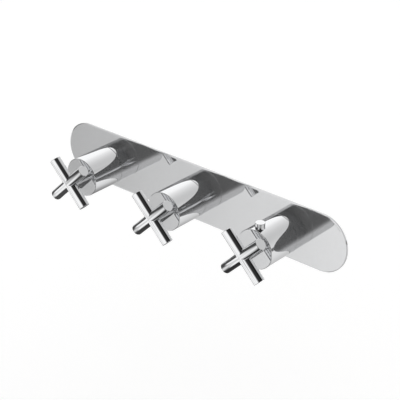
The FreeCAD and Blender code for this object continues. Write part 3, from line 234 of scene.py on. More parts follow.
@dataclass(frozen=True)
class Finish:
    """A surface finish. Its material is made once and shared."""

    name: str
    colour: Colour
    rough: float

    def material(self) -> bpy.types.Material:
        """The finish's material, made on first use."""
        made = bpy.data.materials.get(self.name)
        if made is None:
            made = bpy.data.materials.new(self.name)
            made.use_nodes = True
            sheet = NodeSheet(made.node_tree)
            shader = sheet.add("ShaderNodeBsdfPrincipled")
            out = sheet.add("ShaderNodeOutputMaterial")
            sheet.feed(out.inputs["Surface"], shader.outputs[0])
            place = sheet.add("ShaderNodeTexCoord").outputs["Object"]
            self.dress(sheet, shader, place)
        return made

    def dress(self, sheet: NodeSheet, shader: bpy.types.Node, place: Socket) -> None:
        """Fills the shader. Each kind of finish does this its own way."""
        raise NotImplementedError

    def coat(self, sheet: NodeSheet, shader: bpy.types.Node, shade: Socket,
             worn: Sequence[float], marks: Socket, span: Corner, reach: Corner) -> None:
        """Sets the colour, and a roughness that follows the surface's marks.

        Args:
            sheet: the material's nodes.
            shader: the shader that is filled.
            shade: how worn each place is, 0 to 1.
            worn: each channel's share where the surface is wholly worn.
            marks: what the roughness follows.
            span: the marks between which the roughness changes.
            reach: how far the roughness is off the finish's own at both ends of the span.
        """
        stained = tuple(channel * share for channel, share in zip(self.colour, worn))
        sheet.feed(shader.inputs["Base Color"], sheet.tint(shade, self.colour, stained))
        sheet.feed(shader.inputs["Roughness"],
                   sheet.ramp(marks, *span, *(self.rough + step for step in reach)))

    def bump(self, sheet: NodeSheet, shader: bpy.types.Node, height: object,
             strength: float, depth: float) -> None:
        """Raises the surface.

        Args:
            sheet: the material's nodes.
            shader: the shader whose normal is bent.
            height: the height output.
            strength: share of the effect.
            depth: height in metres.
        """
        node = sheet.add("ShaderNodeBump")
        node.inputs["Strength"].default_value = strength
        node.inputs["Distance"].default_value = depth
        sheet.feed(node.inputs["Height"], height)
        sheet.feed(shader.inputs["Normal"], node.outputs[0])


@dataclass(frozen=True)
class ChromePlate(Finish):
    """Polished chrome plate: a mirror with faint haze, dried-water spots and hairline wipe marks."""

    haze: float = 0.03
    wave: float = 0.00002
    metal: float = 1.0

    def dress(self, sheet: NodeSheet, shader: bpy.types.Node, place: Socket) -> None:
        """A metal mirror whose haze comes and goes."""
        cloud = sheet.noise(place, 38.0, 4.0, 0.6)
        spots = sheet.ramp(sheet.noise(place, 420.0, 2.0), 0.66, 0.72)
        wipes = sheet.noise(sheet.stretch(place, (140.0, 2600.0, 2600.0)), 1.0, 2.0)
        haze = sheet.math("MULTIPLY", sheet.ramp(cloud, 0.35, 0.75), self.haze)
        haze = sheet.math("ADD", haze, sheet.math("MULTIPLY", spots, self.haze * 0.8))
        haze = sheet.math("ADD", haze, sheet.math("MULTIPLY", wipes, self.haze * 0.35))
        sheet.feed(shader.inputs["Roughness"], sheet.math("ADD", haze, self.rough))
        worn = tuple(channel * 0.965 for channel in self.colour)
        sheet.feed(shader.inputs["Base Color"], sheet.tint(cloud, self.colour, worn))
        shader.inputs["Metallic"].default_value = self.metal
        self.bump(sheet, shader, sheet.noise(place, 26.0, 1.0), 0.25, self.wave)


@dataclass(frozen=True)
class CastMetal(Finish):
    """Sand-cast metal: a fine grain with dull hollows."""

    grain: float = 900.0
    depth: float = 0.00016

    def dress(self, sheet: NodeSheet, shader: bpy.types.Node, place: Socket) -> None:
        """A grainy metal that is darker in its pits."""
        grain = sheet.noise(place, self.grain, 5.0, 0.62)
        patch = sheet.noise(place, 45.0, 3.0, 0.55)
        shade = sheet.math("MULTIPLY", sheet.ramp(patch, 0.3, 0.7), 0.6)
        shade = sheet.math("ADD", shade, sheet.ramp(grain, 0.62, 0.3, 0.0, 0.4))
        self.coat(sheet, shader, shade, (0.74, 0.68, 0.6), grain, (0.25, 0.75), (0.14, -0.06))
        shader.inputs["Metallic"].default_value = 0.78
        self.bump(sheet, shader, grain, 0.8, self.depth)


@dataclass(frozen=True)
class TurnedMetal(Finish):
    """Metal off a lathe or mill: fine parallel tool marks and a soft sheen."""

    pitch: float = 5200.0
    depth: float = 0.00002

    def dress(self, sheet: NodeSheet, shader: bpy.types.Node, place: Socket) -> None:
        """A bright metal with tool marks along its axes."""
        marks = sheet.noise(sheet.stretch(place, (self.pitch, self.pitch, self.pitch * 0.12)),
                            1.0, 2.0)
        patch = sheet.noise(place, 60.0, 3.0)
        self.coat(sheet, shader, sheet.ramp(patch, 0.4, 0.75), (0.84, 0.8, 0.74), marks,
                  (0.2, 0.8), (-0.05, 0.1))
        shader.inputs["Metallic"].default_value = 1.0
        self.bump(sheet, shader, marks, 0.5, self.depth)


@dataclass(frozen=True)
class Moulded(Finish):
    """Moulded plastic, rubber or fired ceramic: even colour, fine texture, no metal."""

    texture: float = 1500.0
    depth: float = 0.00003
    sheen: float = 0.5

    def dress(self, sheet: NodeSheet, shader: bpy.types.Node, place: Socket) -> None:
        """An even surface with a fine skin and faint flow clouds."""
        skin = sheet.noise(place, self.texture, 3.0)
        cloud = sheet.noise(place, 90.0, 2.0)
        self.coat(sheet, shader, cloud, (0.88,) * 3, skin, (0.2, 0.8), (-0.05, 0.07))
        shader.inputs["Specular IOR Level"].default_value = self.sheen
        self.bump(sheet, shader, skin, 0.4, self.depth)


@dataclass(frozen=True)
class DrawnSteel(Finish):
    """Drawn or rolled stainless steel: a soft sheen with streaks."""

    def dress(self, sheet: NodeSheet, shader: bpy.types.Node, place: Socket) -> None:
        """A grey metal with drawing streaks."""
        streaks = sheet.noise(sheet.stretch(place, (700.0, 4200.0, 4200.0)), 1.0, 3.0)
        self.coat(sheet, shader, streaks, (0.82,) * 3, streaks, (0.25, 0.75), (-0.07, 0.08))
        shader.inputs["Metallic"].default_value = 1.0
        self.bump(sheet, shader, streaks, 0.3, 0.00001)


@dataclass(frozen=True)
class Paper(Finish):
    """The floor's matt paper, which glows a little to stay pale."""

    sheen: float = 0.1
    glow: float = 0.3

    def dress(self, sheet: NodeSheet, shader: bpy.types.Node, place: Socket) -> None:
        """The same all over."""
        for key, value in (("Base Color", (*self.colour, 1.0)), ("Roughness", self.rough),
                           ("Specular IOR Level", self.sheen), ("Emission Color", (1, 1, 1, 1)),
                           ("Emission Strength", self.glow)):
            shader.inputs[key].default_value = value


CHROME = ChromePlate("chrome_polished", (0.93, 0.935, 0.945), 0.028)
FLAT_CHROME = ChromePlate("chrome_flat", (0.80, 0.804, 0.812), 0.02, haze=0.02, wave=0.000003,
                          metal=0.86)
RAW_CHROME = ChromePlate("chrome_unpolished", (0.64, 0.63, 0.615), 0.3, haze=0.12,
                         wave=0.00003, metal=0.9)
CAST_BRASS = CastMetal("brass_cast", (0.84, 0.66, 0.37), 0.42)
TURNED_BRASS = TurnedMetal("brass_turned", (0.92, 0.75, 0.44), 0.24)
ACETAL = Moulded("acetal", (0.86, 0.86, 0.84), 0.42)
CERAMIC = Moulded("ceramic", (0.93, 0.92, 0.88), 0.22, texture=2600.0, depth=0.000006)
RUBBER = Moulded("seal_rubber", (0.035, 0.035, 0.037), 0.62, texture=1100.0, sheen=0.35)
SPRING_STEEL = DrawnSteel("spring_steel", (0.62, 0.62, 0.63), 0.26)
SCREW_STEEL = DrawnSteel("screw_steel", (0.44, 0.44, 0.45), 0.34)
PAPER = Paper("paper", (0.9, 0.9, 0.9), 0.95)
SLOT_FINISH: dict[str, Finish] = {
    "chrome": CHROME, "brass": TURNED_BRASS, "acetal": ACETAL, "ceramic": CERAMIC,
    "seal_rubber": RUBBER, "spring_steel": SPRING_STEEL, "screw_steel": SCREW_STEEL,
}


# ------------------------------------------------------------------ shaping


def of_kind(items: Iterable[Any], kind: type) -> list[Any]:
    """The items of one kind in what a bmesh operator gives back."""
    return [item for item in items if isinstance(item, kind)]


def coated(shape: Shape, look: int) -> Shape:
    """Puts every face in one material slot and returns the shape."""
    for face in shape.faces:
        face.material_index = look
    return shape


def lathe(corners: Sequence[Corner], steps: int = 192) -> Shape:
    """Turns a closed outline about the y axis.

    Args:
        corners: (radius, y) of the outline's corners in order.
        steps: faces round the turn.

    Returns:
        The closed shape, at the origin.
    """
    shape = bmesh.new()
    points = [shape.verts.new((radius * MM, y * MM, 0.0)) for radius, y in corners]
    lines = [shape.edges.new(pair) for pair in zip(points, points[1:] + points[:1])]
    bmesh.ops.spin(shape, geom=points + lines, cent=(0, 0, 0), axis=(0, 1, 0), dvec=(0, 0, 0),
                   angle=math.tau, steps=steps, use_merge=True, use_normal_flip=False,
                   use_duplicate=False)
    tidy(shape)
    return shape


def tidy(shape: Shape) -> None:
    """Welds what meets, drops what has no size and turns the faces outwards."""
    bmesh.ops.remove_doubles(shape, verts=shape.verts, dist=2e-7)
    bmesh.ops.dissolve_degenerate(shape, edges=shape.edges, dist=1e-8)
    loose = [vert for vert in shape.verts if not vert.link_faces]
    bmesh.ops.delete(shape, geom=loose, context="VERTS")
    bmesh.ops.recalc_face_normals(shape, faces=shape.faces)


def rod(radius: float, start: Sequence[float], end: Sequence[float],
        steps: int = 96) -> Shape:
    """A round bar between two points.

    Args:
        radius: the bar's radius.
        start: the centre of one end.
        end: the centre of the other end.
        steps: faces round the bar.

    Returns:
        The bar with both ends closed.
    """
    first, last = Vector(start) * MM, Vector(end) * MM
    along = last - first
    turn = along.to_track_quat("Z", "X").to_matrix().to_4x4()
    shape = bmesh.new()
    made = bmesh.ops.create_circle(shape, cap_ends=True, radius=radius * MM, segments=steps,
                                   matrix=Matrix.Translation(first) @ turn)
    face = next(iter({face for vert in made["verts"] for face in vert.link_faces}))
    grown = bmesh.ops.extrude_face_region(shape, geom=[face])["geom"]
    bmesh.ops.translate(shape, verts=of_kind(grown, Vert), vec=along)
    bmesh.ops.recalc_face_normals(shape, faces=shape.faces)
    return shape


def along_x(radius: float, start: float, end: float, y: float, z: float = 0.0,
            steps: int = 96) -> Shape:
    """A round bar along the plate."""
    return rod(radius, (start, y, z), (end, y, z), steps)


def along_y(radius: float, x: float, start: float, end: float, z: float = 0.0,
            steps: int = 96) -> Shape:
    """A round bar square to the wall."""
    return rod(radius, (x, start, z), (x, end, z), steps)


def along_z(radius: float, x: float, y: float, start: float, end: float,
            steps: int = 96) -> Shape:
    """An upright round bar."""
    return rod(radius, (x, y, start), (x, y, end), steps)


def block(low: Sequence[float], high: Sequence[float]) -> Shape:
    """A box between two corners."""
    shape = bmesh.new()
    size = Vector(high) - Vector(low)
    centre = (Vector(high) + Vector(low)) / 2
    fit = Matrix.Translation(centre * MM) @ Matrix.Diagonal((*(size * MM), 1.0))
    bmesh.ops.create_cube(shape, size=1.0, matrix=fit)
    return shape


def as_object(shape: Shape, name: str,
              finishes: Sequence[Finish] = ()) -> Thing:
    """Puts a shape in the scene as an object at the origin.

    Args:
        shape: the shape, which is freed.
        name: the object's name.
        finishes: its material slots.

    Returns:
        The object.
    """
    mesh = bpy.data.meshes.new(name)
    shape.to_mesh(mesh)
    shape.free()
    thing = bpy.data.objects.new(name, mesh)
    bpy.context.scene.collection.objects.link(thing)
    for finish in finishes:
        mesh.materials.append(finish.material())
    return thing


def settled(thing: Thing) -> Shape:
    """Takes an object with its modifiers out of the scene again.

    Args:
        thing: the object, which is removed.

    Returns:
        The finished shape.
    """
    graph = bpy.context.evaluated_depsgraph_get()
    mesh = bpy.data.meshes.new_from_object(thing.evaluated_get(graph))
    shape = bmesh.new()
    shape.from_mesh(mesh)
    old = thing.data
    bpy.data.objects.remove(thing)
    bpy.data.meshes.remove(old)
    bpy.data.meshes.remove(mesh)
    return shape


def joined(base: Shape, tool: Shape, how: Join,
           look: int = 0) -> Shape:
    """Adds one shape to another or cuts it out.

    Args:
        base: the shape that is worked on, which is freed.
        tool: the shape that works on it, which is freed.
        how: add or cut.
        look: the material slot of the faces that the tool leaves.

    Returns:
        The new shape.
    """
    slots = (CAST_BRASS, TURNED_BRASS)
    first = as_object(base, "base", slots)
    second = as_object(coated(tool, look), "tool", slots)
    step = first.modifiers.new("work", "BOOLEAN")
    step.operation, step.object, step.solver = how.value, second, "EXACT"
    shape = settled(first)
    mesh = second.data
    bpy.data.objects.remove(second)
    bpy.data.meshes.remove(mesh)
    tidy(shape)
    return shape


def added(base: Shape, *tools: Shape) -> Shape:
    """Adds shapes to a base, one after another."""
    for tool in tools:
        base = joined(base, tool, Join.ADD)
    return base


def sliced(shape: Shape, place: Sequence[float], normal: Sequence[float],
           near: float) -> list[Edge]:
    """Cuts away what lies beyond a plane.

    Args:
        shape: the shape that is changed.
        place: a point of the plane.
        normal: the way out of what is kept.
        near: the distance in metres at which a corner counts as on the plane.

    Returns:
        The edges round the cut.
    """
    cut = bmesh.ops.bisect_plane(shape, geom=shape.verts[:] + shape.edges[:] + shape.faces[:],
                                 plane_co=Vector(place) * MM, plane_no=normal,
                                 clear_outer=True, dist=near)
    return of_kind(cut["geom_cut"], Edge)


def soften(shape: Shape, width: float, segments: int,
           chosen: Callable[[Edge], bool]) -> None:
    """Rounds chosen edges.

    Args:
        shape: the shape that is changed.
        width: how far the rounding reaches from the edge.
        segments: faces across the rounding.
        chosen: says whether an edge is rounded.
    """
    edges = [edge for edge in shape.edges if len(edge.link_faces) == 2 and chosen(edge)]
    bmesh.ops.bevel(shape, geom=edges, offset=width * MM, offset_type="OFFSET",
                    segments=segments, profile=0.5, affect="EDGES", material=-1,
                    clamp_overlap=True)


def on_ring(radius: float, y: float) -> Callable[[Edge], bool]:
    """Chooses the edges of one circle about the y axis."""
    def chosen(edge: Edge) -> bool:
        """Whether both ends of the edge lie on that circle."""
        return all(abs(math.hypot(v.co.x, v.co.z) - radius * MM) < 1e-6
                   and abs(v.co.y - y * MM) < 1e-6 for v in edge.verts)
    return chosen


def in_plane(axis: int, place: float) -> Callable[[Edge], bool]:
    """Chooses the edges in one plane square to an axis: 0 for x, 1 for y, 2 for z."""
    return lambda edge: all(abs(vert.co[axis] - place * MM) < 1e-7 for vert in edge.verts)


def is_corner(edge: Edge) -> bool:
    """Whether the faces at an edge meet at more than 50 degrees."""
    return edge.calc_face_angle(0.0) > math.radians(50)


def moved(shape: Shape, x: float = 0.0, y: float = 0.0,
          z: float = 0.0) -> Shape:
    """Moves a shape and returns it."""
    bmesh.ops.translate(shape, verts=shape.verts, vec=Vector((x, y, z)) * MM)
    return shape


def turned(shape: Shape, degrees: float, axis: str) -> Shape:
    """Turns a shape about an axis through the origin and returns it."""
    bmesh.ops.rotate(shape, verts=shape.verts, cent=(0, 0, 0),
                     matrix=Matrix.Rotation(math.radians(degrees), 3, axis))
    return shape


def gathered(shapes: Iterable[Shape]) -> Shape:
    """Puts separate shapes into one mesh."""
    whole = bmesh.new()
    for shape in shapes:
        mesh = bpy.data.meshes.new("part")
        shape.to_mesh(mesh)
        shape.free()
        whole.from_mesh(mesh)
        bpy.data.meshes.remove(mesh)
    return whole


def place_piece(shape: Shape, name: str, body: str,
                finishes: Sequence[Finish], nodes: Sequence[str],
                sharp: float = 30.0) -> Thing:
    """Makes the finished piece of a shape, hides the CAD nodes that it stands for and logs its
    triangles, open edges and body.

    Args:
        shape: the shape, which is freed.
        name: the piece's name.
        body: the body that it rides on.
        finishes: its materials in the order of the faces' slots.
        nodes: the CAD nodes that it stands for.
        sharp: the angle in degrees past which an edge stays crisp.

    Returns:
        The piece.
    """
    for face in shape.faces:
        face.smooth = True
    for edge in shape.edges:
        edge.smooth = len(edge.link_faces) == 2 and edge.calc_face_angle(0.0) < math.radians(sharp)
    count = sum(len(face.verts) - 2 for face in shape.faces)
    opened = sum(len(edge.link_faces) != 2 for edge in shape.edges)
    piece = as_object(shape, name, finishes)
    even = piece.modifiers.new("even_normals", "WEIGHTED_NORMAL")
    even.mode, even.weight, even.keep_sharp = "FACE_AREA", 50, True
    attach(piece, body)
    if nodes:
        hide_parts(*nodes)
    LOG.info("%s: %d triangles, %d open edges, rides on %s", name, count, opened, body)
    return piece


# ------------------------------------------------------------------ the wall plate


@dataclass
class WallPlate:
    """The obround chrome plate with its three openings and the seal's groove in its back."""

    length: float = 450.0
    height: float = 76.0
    thick: float = 2.5
    edge_width: float = 1.9
    edge_fall: float = 0.6
    opening: float = 20.2
    seal_inset: float = 5.0
    seal_width: float = 4.0
    seal_depth: float = 1.2
    cut_from: float = 5.0
    cut_to: float = -8.0

    def outline(self, steps: int = 160) -> Shape:
        """The plate's back as one flat face: a circle whose halves are drawn apart."""
        shape = bmesh.new()
        bmesh.ops.create_circle(shape, cap_ends=True, radius=self.height / 2 * MM,
                                segments=steps, matrix=Matrix.Rotation(math.pi / 2, 4, "X"))
        reach = (self.length - self.height) / 2
        for side in (-1, 1):
            half = [vert for vert in shape.verts if vert.co.x * side > 1e-7]
            bmesh.ops.translate(shape, verts=half, vec=(side * reach * MM, 0, 0))
        return shape

    def grow(self, shape: Shape, faces: list[Face],
             depth: float) -> list[Face]:
        """Extrudes faces along y.

        Args:
            shape: the shape that is changed.
            faces: the faces that move.
            depth: how far they move towards the room.

        Returns:
            The faces at their new place.
        """
        grown = bmesh.ops.extrude_face_region(shape, geom=faces)["geom"]
        bmesh.ops.translate(shape, verts=of_kind(grown, Vert), vec=(0, -depth * MM, 0))
        return of_kind(grown, Face)

    def build(self) -> Thing:
        """Makes the plate."""
        shape = self.outline()
        front = self.grow(shape, list(shape.faces), self.thick - self.edge_fall)
        bmesh.ops.inset_region(shape, faces=front, thickness=self.edge_width * MM,
                               use_even_offset=True)
        bmesh.ops.translate(shape, verts=list({vert for face in front for vert in face.verts}),
                            vec=(0, -self.edge_fall * MM, 0))
        back = [face for face in shape.faces if abs(face.calc_center_median().y) < 1e-7]
        rims = []
        for inset in (self.seal_inset, self.seal_width):
            rims = bmesh.ops.inset_region(shape, faces=back, thickness=inset * MM,
                                          use_even_offset=True)["faces"]
        bmesh.ops.recalc_face_normals(shape, faces=shape.faces)
        self.grow(shape, rims, self.seal_depth)
        bmesh.ops.delete(shape, geom=rims, context="FACES")
        tidy(shape)
        for control in Control:
            hole = along_y(self.opening, control.x, self.cut_from, self.cut_to, steps=128)
            shape = joined(shape, hole, Join.CUT)
        for face in shape.faces:
            face.material_index = int(face.normal.y > 0.5)
        return place_piece(shape, "plate_chromed", "valve", (FLAT_CHROME, RAW_CHROME),
                           ("wall_plate",))


# ------------------------------------------------------------------ collars and handles


@dataclass
class Collars:
    """The three fixed collars between the plate and the turning handles."""

    radius: float = 25.3
    back: float = -2.5
    front: float = -17.65
    bore: float = 20.0
    lip_bore: float = 16.588
    lip: float = 2.0
    groove_outer: float = 24.0
    groove_inner: float = 21.6
    groove: float = 1.6
    edge: float = 0.3

    def build(self) -> Thing:
        """Makes all three collars as one piece."""
        rings = []
        for control in Control:
            ring = lathe([
                (self.bore, self.back), (self.groove_inner, self.back),
                (self.groove_inner, self.back - self.groove),
                (self.groove_outer, self.back - self.groove), (self.groove_outer, self.back),
                (self.radius, self.back), (self.radius, self.front),
                (self.lip_bore, self.front), (self.lip_bore, self.front + self.lip),
                (self.bore, self.front + self.lip),
            ])
            soften(ring, self.edge, 3, on_ring(self.radius, self.front))
            rings.append(moved(ring, control.x))
        return place_piece(gathered(rings), "collars_chromed", "valve", (CHROME,),
                           ("collars",))


@dataclass
class HandleBody:
    """A hollow turning body with its front disc and the hub that clamps on the spindle."""

    control: Control
    radius: float = 25.3
    back: float = -18.15
    front: float = -66.3
    front_edge: float = 0.8
    back_edge: float = 0.3
    cavity: float = 22.0
    disc: float = 4.0
    hub: float = 11.5
    hub_end: float = -36.0
    hub_bore: float = 8.2
    hub_floor: float = -58.0
    tenon: float = 5.05
    key_place: float = -46.0
    key_hole: float = 2.6
    screw_hole: float = 2.05
    button_place: float = -56.7
    button_hole: float = 6.09
    pad: float = 5.2
    pad_top: float = 12.3
    pad_sunk: float = 0.8
    gap: float = 0.3
    spare: float = 2.0

    def drilled(self, shape: Shape, radius: float, y: float, low: float,
                high: float) -> Shape:
        """Drills an upright hole in the body."""
        return joined(shape, along_z(radius, 0, y, low, high, 64), Join.CUT)

    def build(self) -> Thing:
        """Makes the body."""
        inner = self.front + self.disc
        shape = lathe([
            (self.tenon, self.front), (self.radius, self.front), (self.radius, self.back),
            (self.cavity, self.back), (self.cavity, inner), (self.hub, inner),
            (self.hub, self.hub_end), (self.hub_bore, self.hub_end),
            (self.hub_bore, self.hub_floor), (self.tenon, self.hub_floor),
        ], 256)
        soften(shape, self.front_edge, 5, on_ring(self.radius, self.front))
        soften(shape, self.back_edge, 3, on_ring(self.radius, self.back))
        if self.control is Control.RIGHT:
            shape = added(shape, along_z(self.pad, 0, self.button_place,
                                         self.hub_bore + self.pad_sunk, self.pad_top, 64))
            shape = self.drilled(shape, self.button_hole, self.button_place,
                                 self.pad_top + self.gap, self.radius + self.spare)
        shape = self.drilled(shape, self.key_hole, self.key_place, -self.radius - self.spare,
                             -self.hub - self.gap)
        shape = self.drilled(shape, self.screw_hole, self.key_place,
                             -self.hub - self.spare / 2, -self.hub_bore / 2)
        for face in shape.faces:
            flat = face.normal.y < -0.999 and abs(face.calc_center_median().y
                                                  - self.front * MM) < 1e-5
            face.material_index = int(flat)
        return place_piece(moved(shape, self.control.x), f"body_chromed_{self.control.suffix}",
                           self.control.body, (CHROME, FLAT_CHROME),
                           (f"handle_body_{self.control.suffix}",))


@dataclass
class CrossHandle:
    """The cross of two equal round rods on a stem, with the tenon that sits in the front disc."""

    control: Control
    centre: float = -87.0
    reach: float = 35.5
    rod_radius: float = 7.0
    rod_edge: float = 0.5
    stem_radius: float = 6.2
    stem_end: float = -66.3
    tenon_radius: float = 5.0
    tenon_end: float = -58.8
    tenon_edge: float = 0.3
    stem_sunk: float = 1.0

    def arm(self) -> Shape:
        """One of the four arms, mitred where it meets its neighbours."""
        shape = along_x(self.rod_radius, 0, self.reach, 0, steps=128)
        soften(shape, self.rod_edge, 4, in_plane(0, self.reach))
        inner = [face for face in shape.faces if abs(face.calc_center_median().x) < 1e-7]
        bmesh.ops.delete(shape, geom=inner, context="FACES")
        for side in (-1, 1):
            sliced(shape, (0, 0, 0), (-1, 0, side), 1e-8)
        return shape

    def build(self) -> Thing:
        """Makes the cross."""
        cross = gathered(turned(self.arm(), quarter * 90.0, "Y") for quarter in range(4))
        bmesh.ops.remove_doubles(cross, verts=cross.verts, dist=1e-6)
        tidy(cross)
        moved(turned(cross, 45.0, "Y"), y=self.centre)
        stem = lathe([
            (0, self.centre + self.stem_sunk), (self.stem_radius, self.centre + self.stem_sunk),
            (self.stem_radius, self.stem_end), (self.tenon_radius, self.stem_end),
            (self.tenon_radius, self.tenon_end), (0, self.tenon_end),
        ], 128)
        soften(stem, self.tenon_edge, 3, on_ring(self.tenon_radius, self.tenon_end))
        cross = moved(added(cross, stem), self.control.x)
        return place_piece(cross, f"cross_chromed_{self.control.suffix}",
                           self.control.body, (CHROME,),
                           (f"cross_handle_{self.control.suffix}",))


@dataclass
class OverrideButton:
    """The 38 degree override button with its flange, arm, tooth and spring peg."""

    x: float = 140.0
    place: float = -56.7
    radius: float = 6.0
    top: float = 31.8
    edge: float = 0.5
    flange_low: float = 18.9
    flange_top: float = 20.3
    flange_half: float = 7.2
    flange_front: float = -62.0
    arm_half: float = 2.5
    arm_end: float = -26.6
    tooth_length: float = 4.0
    tooth_low: float = 17.0
    tooth_top: float = 20.9
    peg_radius: float = 2.4
    peg_low: float = 15.5

    def build(self) -> Thing:
        """Makes the button."""
        cap = along_z(self.radius, 0, self.place, self.flange_low, self.top, 128)
        soften(cap, self.edge, 4, in_plane(2, self.top))
        half = self.flange_half
        cap = added(
            cap,
            block((-half, self.flange_front, self.flange_low),
                  (half, half + self.place, self.flange_top)),
            block((-self.arm_half, self.place, self.flange_low),
                  (self.arm_half, self.arm_end, self.flange_top)),
            block((-self.arm_half, self.arm_end - self.tooth_length, self.tooth_low),
                  (self.arm_half, self.arm_end, self.tooth_top)),
            along_z(self.peg_radius, 0, self.place, self.peg_low, self.flange_top, 48),
        )
        return place_piece(moved(cap, self.x), "button_chromed", "button", (CHROME,),
                           ("override_button",))


# ------------------------------------------------------------------ brasswork behind the wall


@dataclass
class Casting:
    """A sand-cast brass body: a control's chamber, its sleeve through the plate and its bar.

    The casting is made a little long, its edges are softened as sand leaves them, and the
    machined ends and bores are then cut sharp.
    """

    node: str
    control: Control
    low: float
    high: float
    ports: tuple[float, ...]
    gallery_end: float
    floor: float = 18.0
    passage: float = 7.0
    passage_top: float = -11.0
    low_socket: float = 6.55
    high_socket: float = 6.55
    rear: bool = False
    bar_radius: float = 14.0
    bar_depth: float = 20.0
    boss: float = 20.8
    boss_front: float = 3.0
    boss_back: float = 23.0
    rear_radius: float = 15.5
    rear_back: float = 32.0
    web_front: float = 4.4
    web_back: float = 28.0
    port_radius: float = 13.0
    port_depth: float = 16.4
    port_start: float = -1.0
    port_end: float = -40.0
    thread_root: float = 10.3
    thread_crest: float = 9.3
    thread_top: float = -26.0
    thread_pitch: float = 1.814
    thread_sunk: float = 0.05
    thread_share: float = 0.46
    thread_steps: int = 40
    sleeve: float = 19.9
    sleeve_seat: float = 4.0
    sleeve_end: float = -14.5
    chamber: float = 13.0
    mouth: float = 16.0
    mouth_end: float = -6.0
    gallery: float = 4.5
    gallery_depth: float = 26.5
    gallery_rise: float = 3.0
    socket_depth: float = 8.0
    spare: float = 3.0
    past: float = 2.0
    grain: float = 0.9
    passes: int = 7

    def rough(self) -> Shape:
        """The cast shape, with spare length where it is machined later."""
        x, depth = self.control.x, self.bar_depth
        low = self.low - (self.spare if self.low_socket else 0.0)
        high = self.high + (self.spare if self.high_socket else 0.0)
        shape = added(along_x(self.bar_radius, low, high, depth),
                      along_y(self.boss, x, self.boss_front, self.boss_back))
        if self.rear:
            shape = added(shape, along_y(self.rear_radius, x, self.boss_front, self.rear_back),
                          block((self.ports[0], self.web_front, -self.bar_radius),
                                (self.ports[-1], self.web_back, self.port_start)))
        for place in self.ports:
            shape = added(shape, along_z(self.port_radius, place, self.port_depth,
                                         self.port_start, self.port_end - self.spare))
        lump = as_object(shape, "rough")
        melt = lump.modifiers.new("melt", "REMESH")
        melt.mode, melt.voxel_size = "VOXEL", self.grain * MM
        shape = settled(lump)
        for _ in range(self.passes):
            bmesh.ops.smooth_vert(shape, verts=shape.verts, factor=0.5, use_axis_x=True,
                                  use_axis_y=True, use_axis_z=True)
        return shape

    def trimmed(self, shape: Shape) -> Shape:
        """Mills the ports' mouths and the bar's open ends flat. A closed end stays as cast."""
        planes = [((0, 0, self.port_end), (0, 0, -1))]
        if self.low_socket:
            planes.append(((self.low, 0, 0), (-1, 0, 0)))
        if self.high_socket:
            planes.append(((self.high, 0, 0), (1, 0, 0)))
        for place, normal in planes:
            made = bmesh.ops.triangle_fill(shape, use_beauty=True, use_dissolve=True,
                                           edges=sliced(shape, place, normal, 1e-7))
            for face in of_kind(made["geom"], Face):
                face.material_index = 1
        bmesh.ops.recalc_face_normals(shape, faces=shape.faces)
        return shape

    def bores(self) -> Shape:
        """Everything that the drills and reamers take out, as one shape."""
        x, depth, rise = self.control.x, self.gallery_depth, self.gallery_rise
        front = self.sleeve_end - self.past
        tools = [along_y(self.mouth, x, front, self.mouth_end)]
        for place in self.ports:
            for radius, low, high in (
                (self.thread_root, self.port_end - self.past, self.thread_top),
                (self.passage, self.port_end - self.past / 2, self.passage_top),
            ):
                tools.append(along_z(radius, place, self.port_depth, low, high))
        start = self.low - self.past if self.low_socket else self.low + self.past
        tools.append(along_x(self.gallery, start, self.gallery_end, depth, rise))
        for end, radius, way in ((self.low, self.low_socket, 1), (self.high, self.high_socket, -1)):
            if radius:
                tools.append(along_x(radius, end - way * self.past,
                                     end + way * self.socket_depth, depth, rise))
        return added(along_y(self.chamber, x, front, self.floor), *tools)

    def thread(self, place: float) -> Shape:
        """The pipe thread's ridge in one port, wound with the spin operator."""
        shape = bmesh.new()
        half, root = self.thread_pitch * self.thread_share, self.thread_root + self.thread_sunk
        corners = [(root, -half), (self.thread_crest, 0.0), (root, half)]
        points = [shape.verts.new(Vector((radius, 0.0, z)) * MM) for radius, z in corners]
        face = shape.faces.new(points)
        turns = int((self.thread_top - self.port_end) / self.thread_pitch) - 1
        steps = self.thread_steps
        bmesh.ops.spin(shape, geom=[face, *face.edges, *points], cent=(0, 0, 0), axis=(0, 0, 1),
                       dvec=(0, 0, self.thread_pitch / steps * MM), angle=math.tau * turns,
                       steps=steps * turns, use_merge=False, use_normal_flip=False,
                       use_duplicate=False)
        bmesh.ops.recalc_face_normals(shape, faces=shape.faces)
        return moved(coated(shape, 1), place, self.port_depth, self.port_end + self.thread_pitch)

    def build(self) -> Thing:
        """Makes the casting with its sleeve, bores and threads."""
        shape = self.trimmed(self.rough())
        sleeve = along_y(self.sleeve, self.control.x, self.boss_front + self.sleeve_seat,
                         self.sleeve_end, steps=160)
        shape = joined(shape, sleeve, Join.ADD, 1)
        shape = joined(shape, self.bores(), Join.CUT, 1)
        whole = gathered([shape, *(self.thread(place) for place in self.ports)])
        return place_piece(whole, f"{self.node}_cast", "valve",
                           (CAST_BRASS, TURNED_BRASS), (self.node,), 34.0)


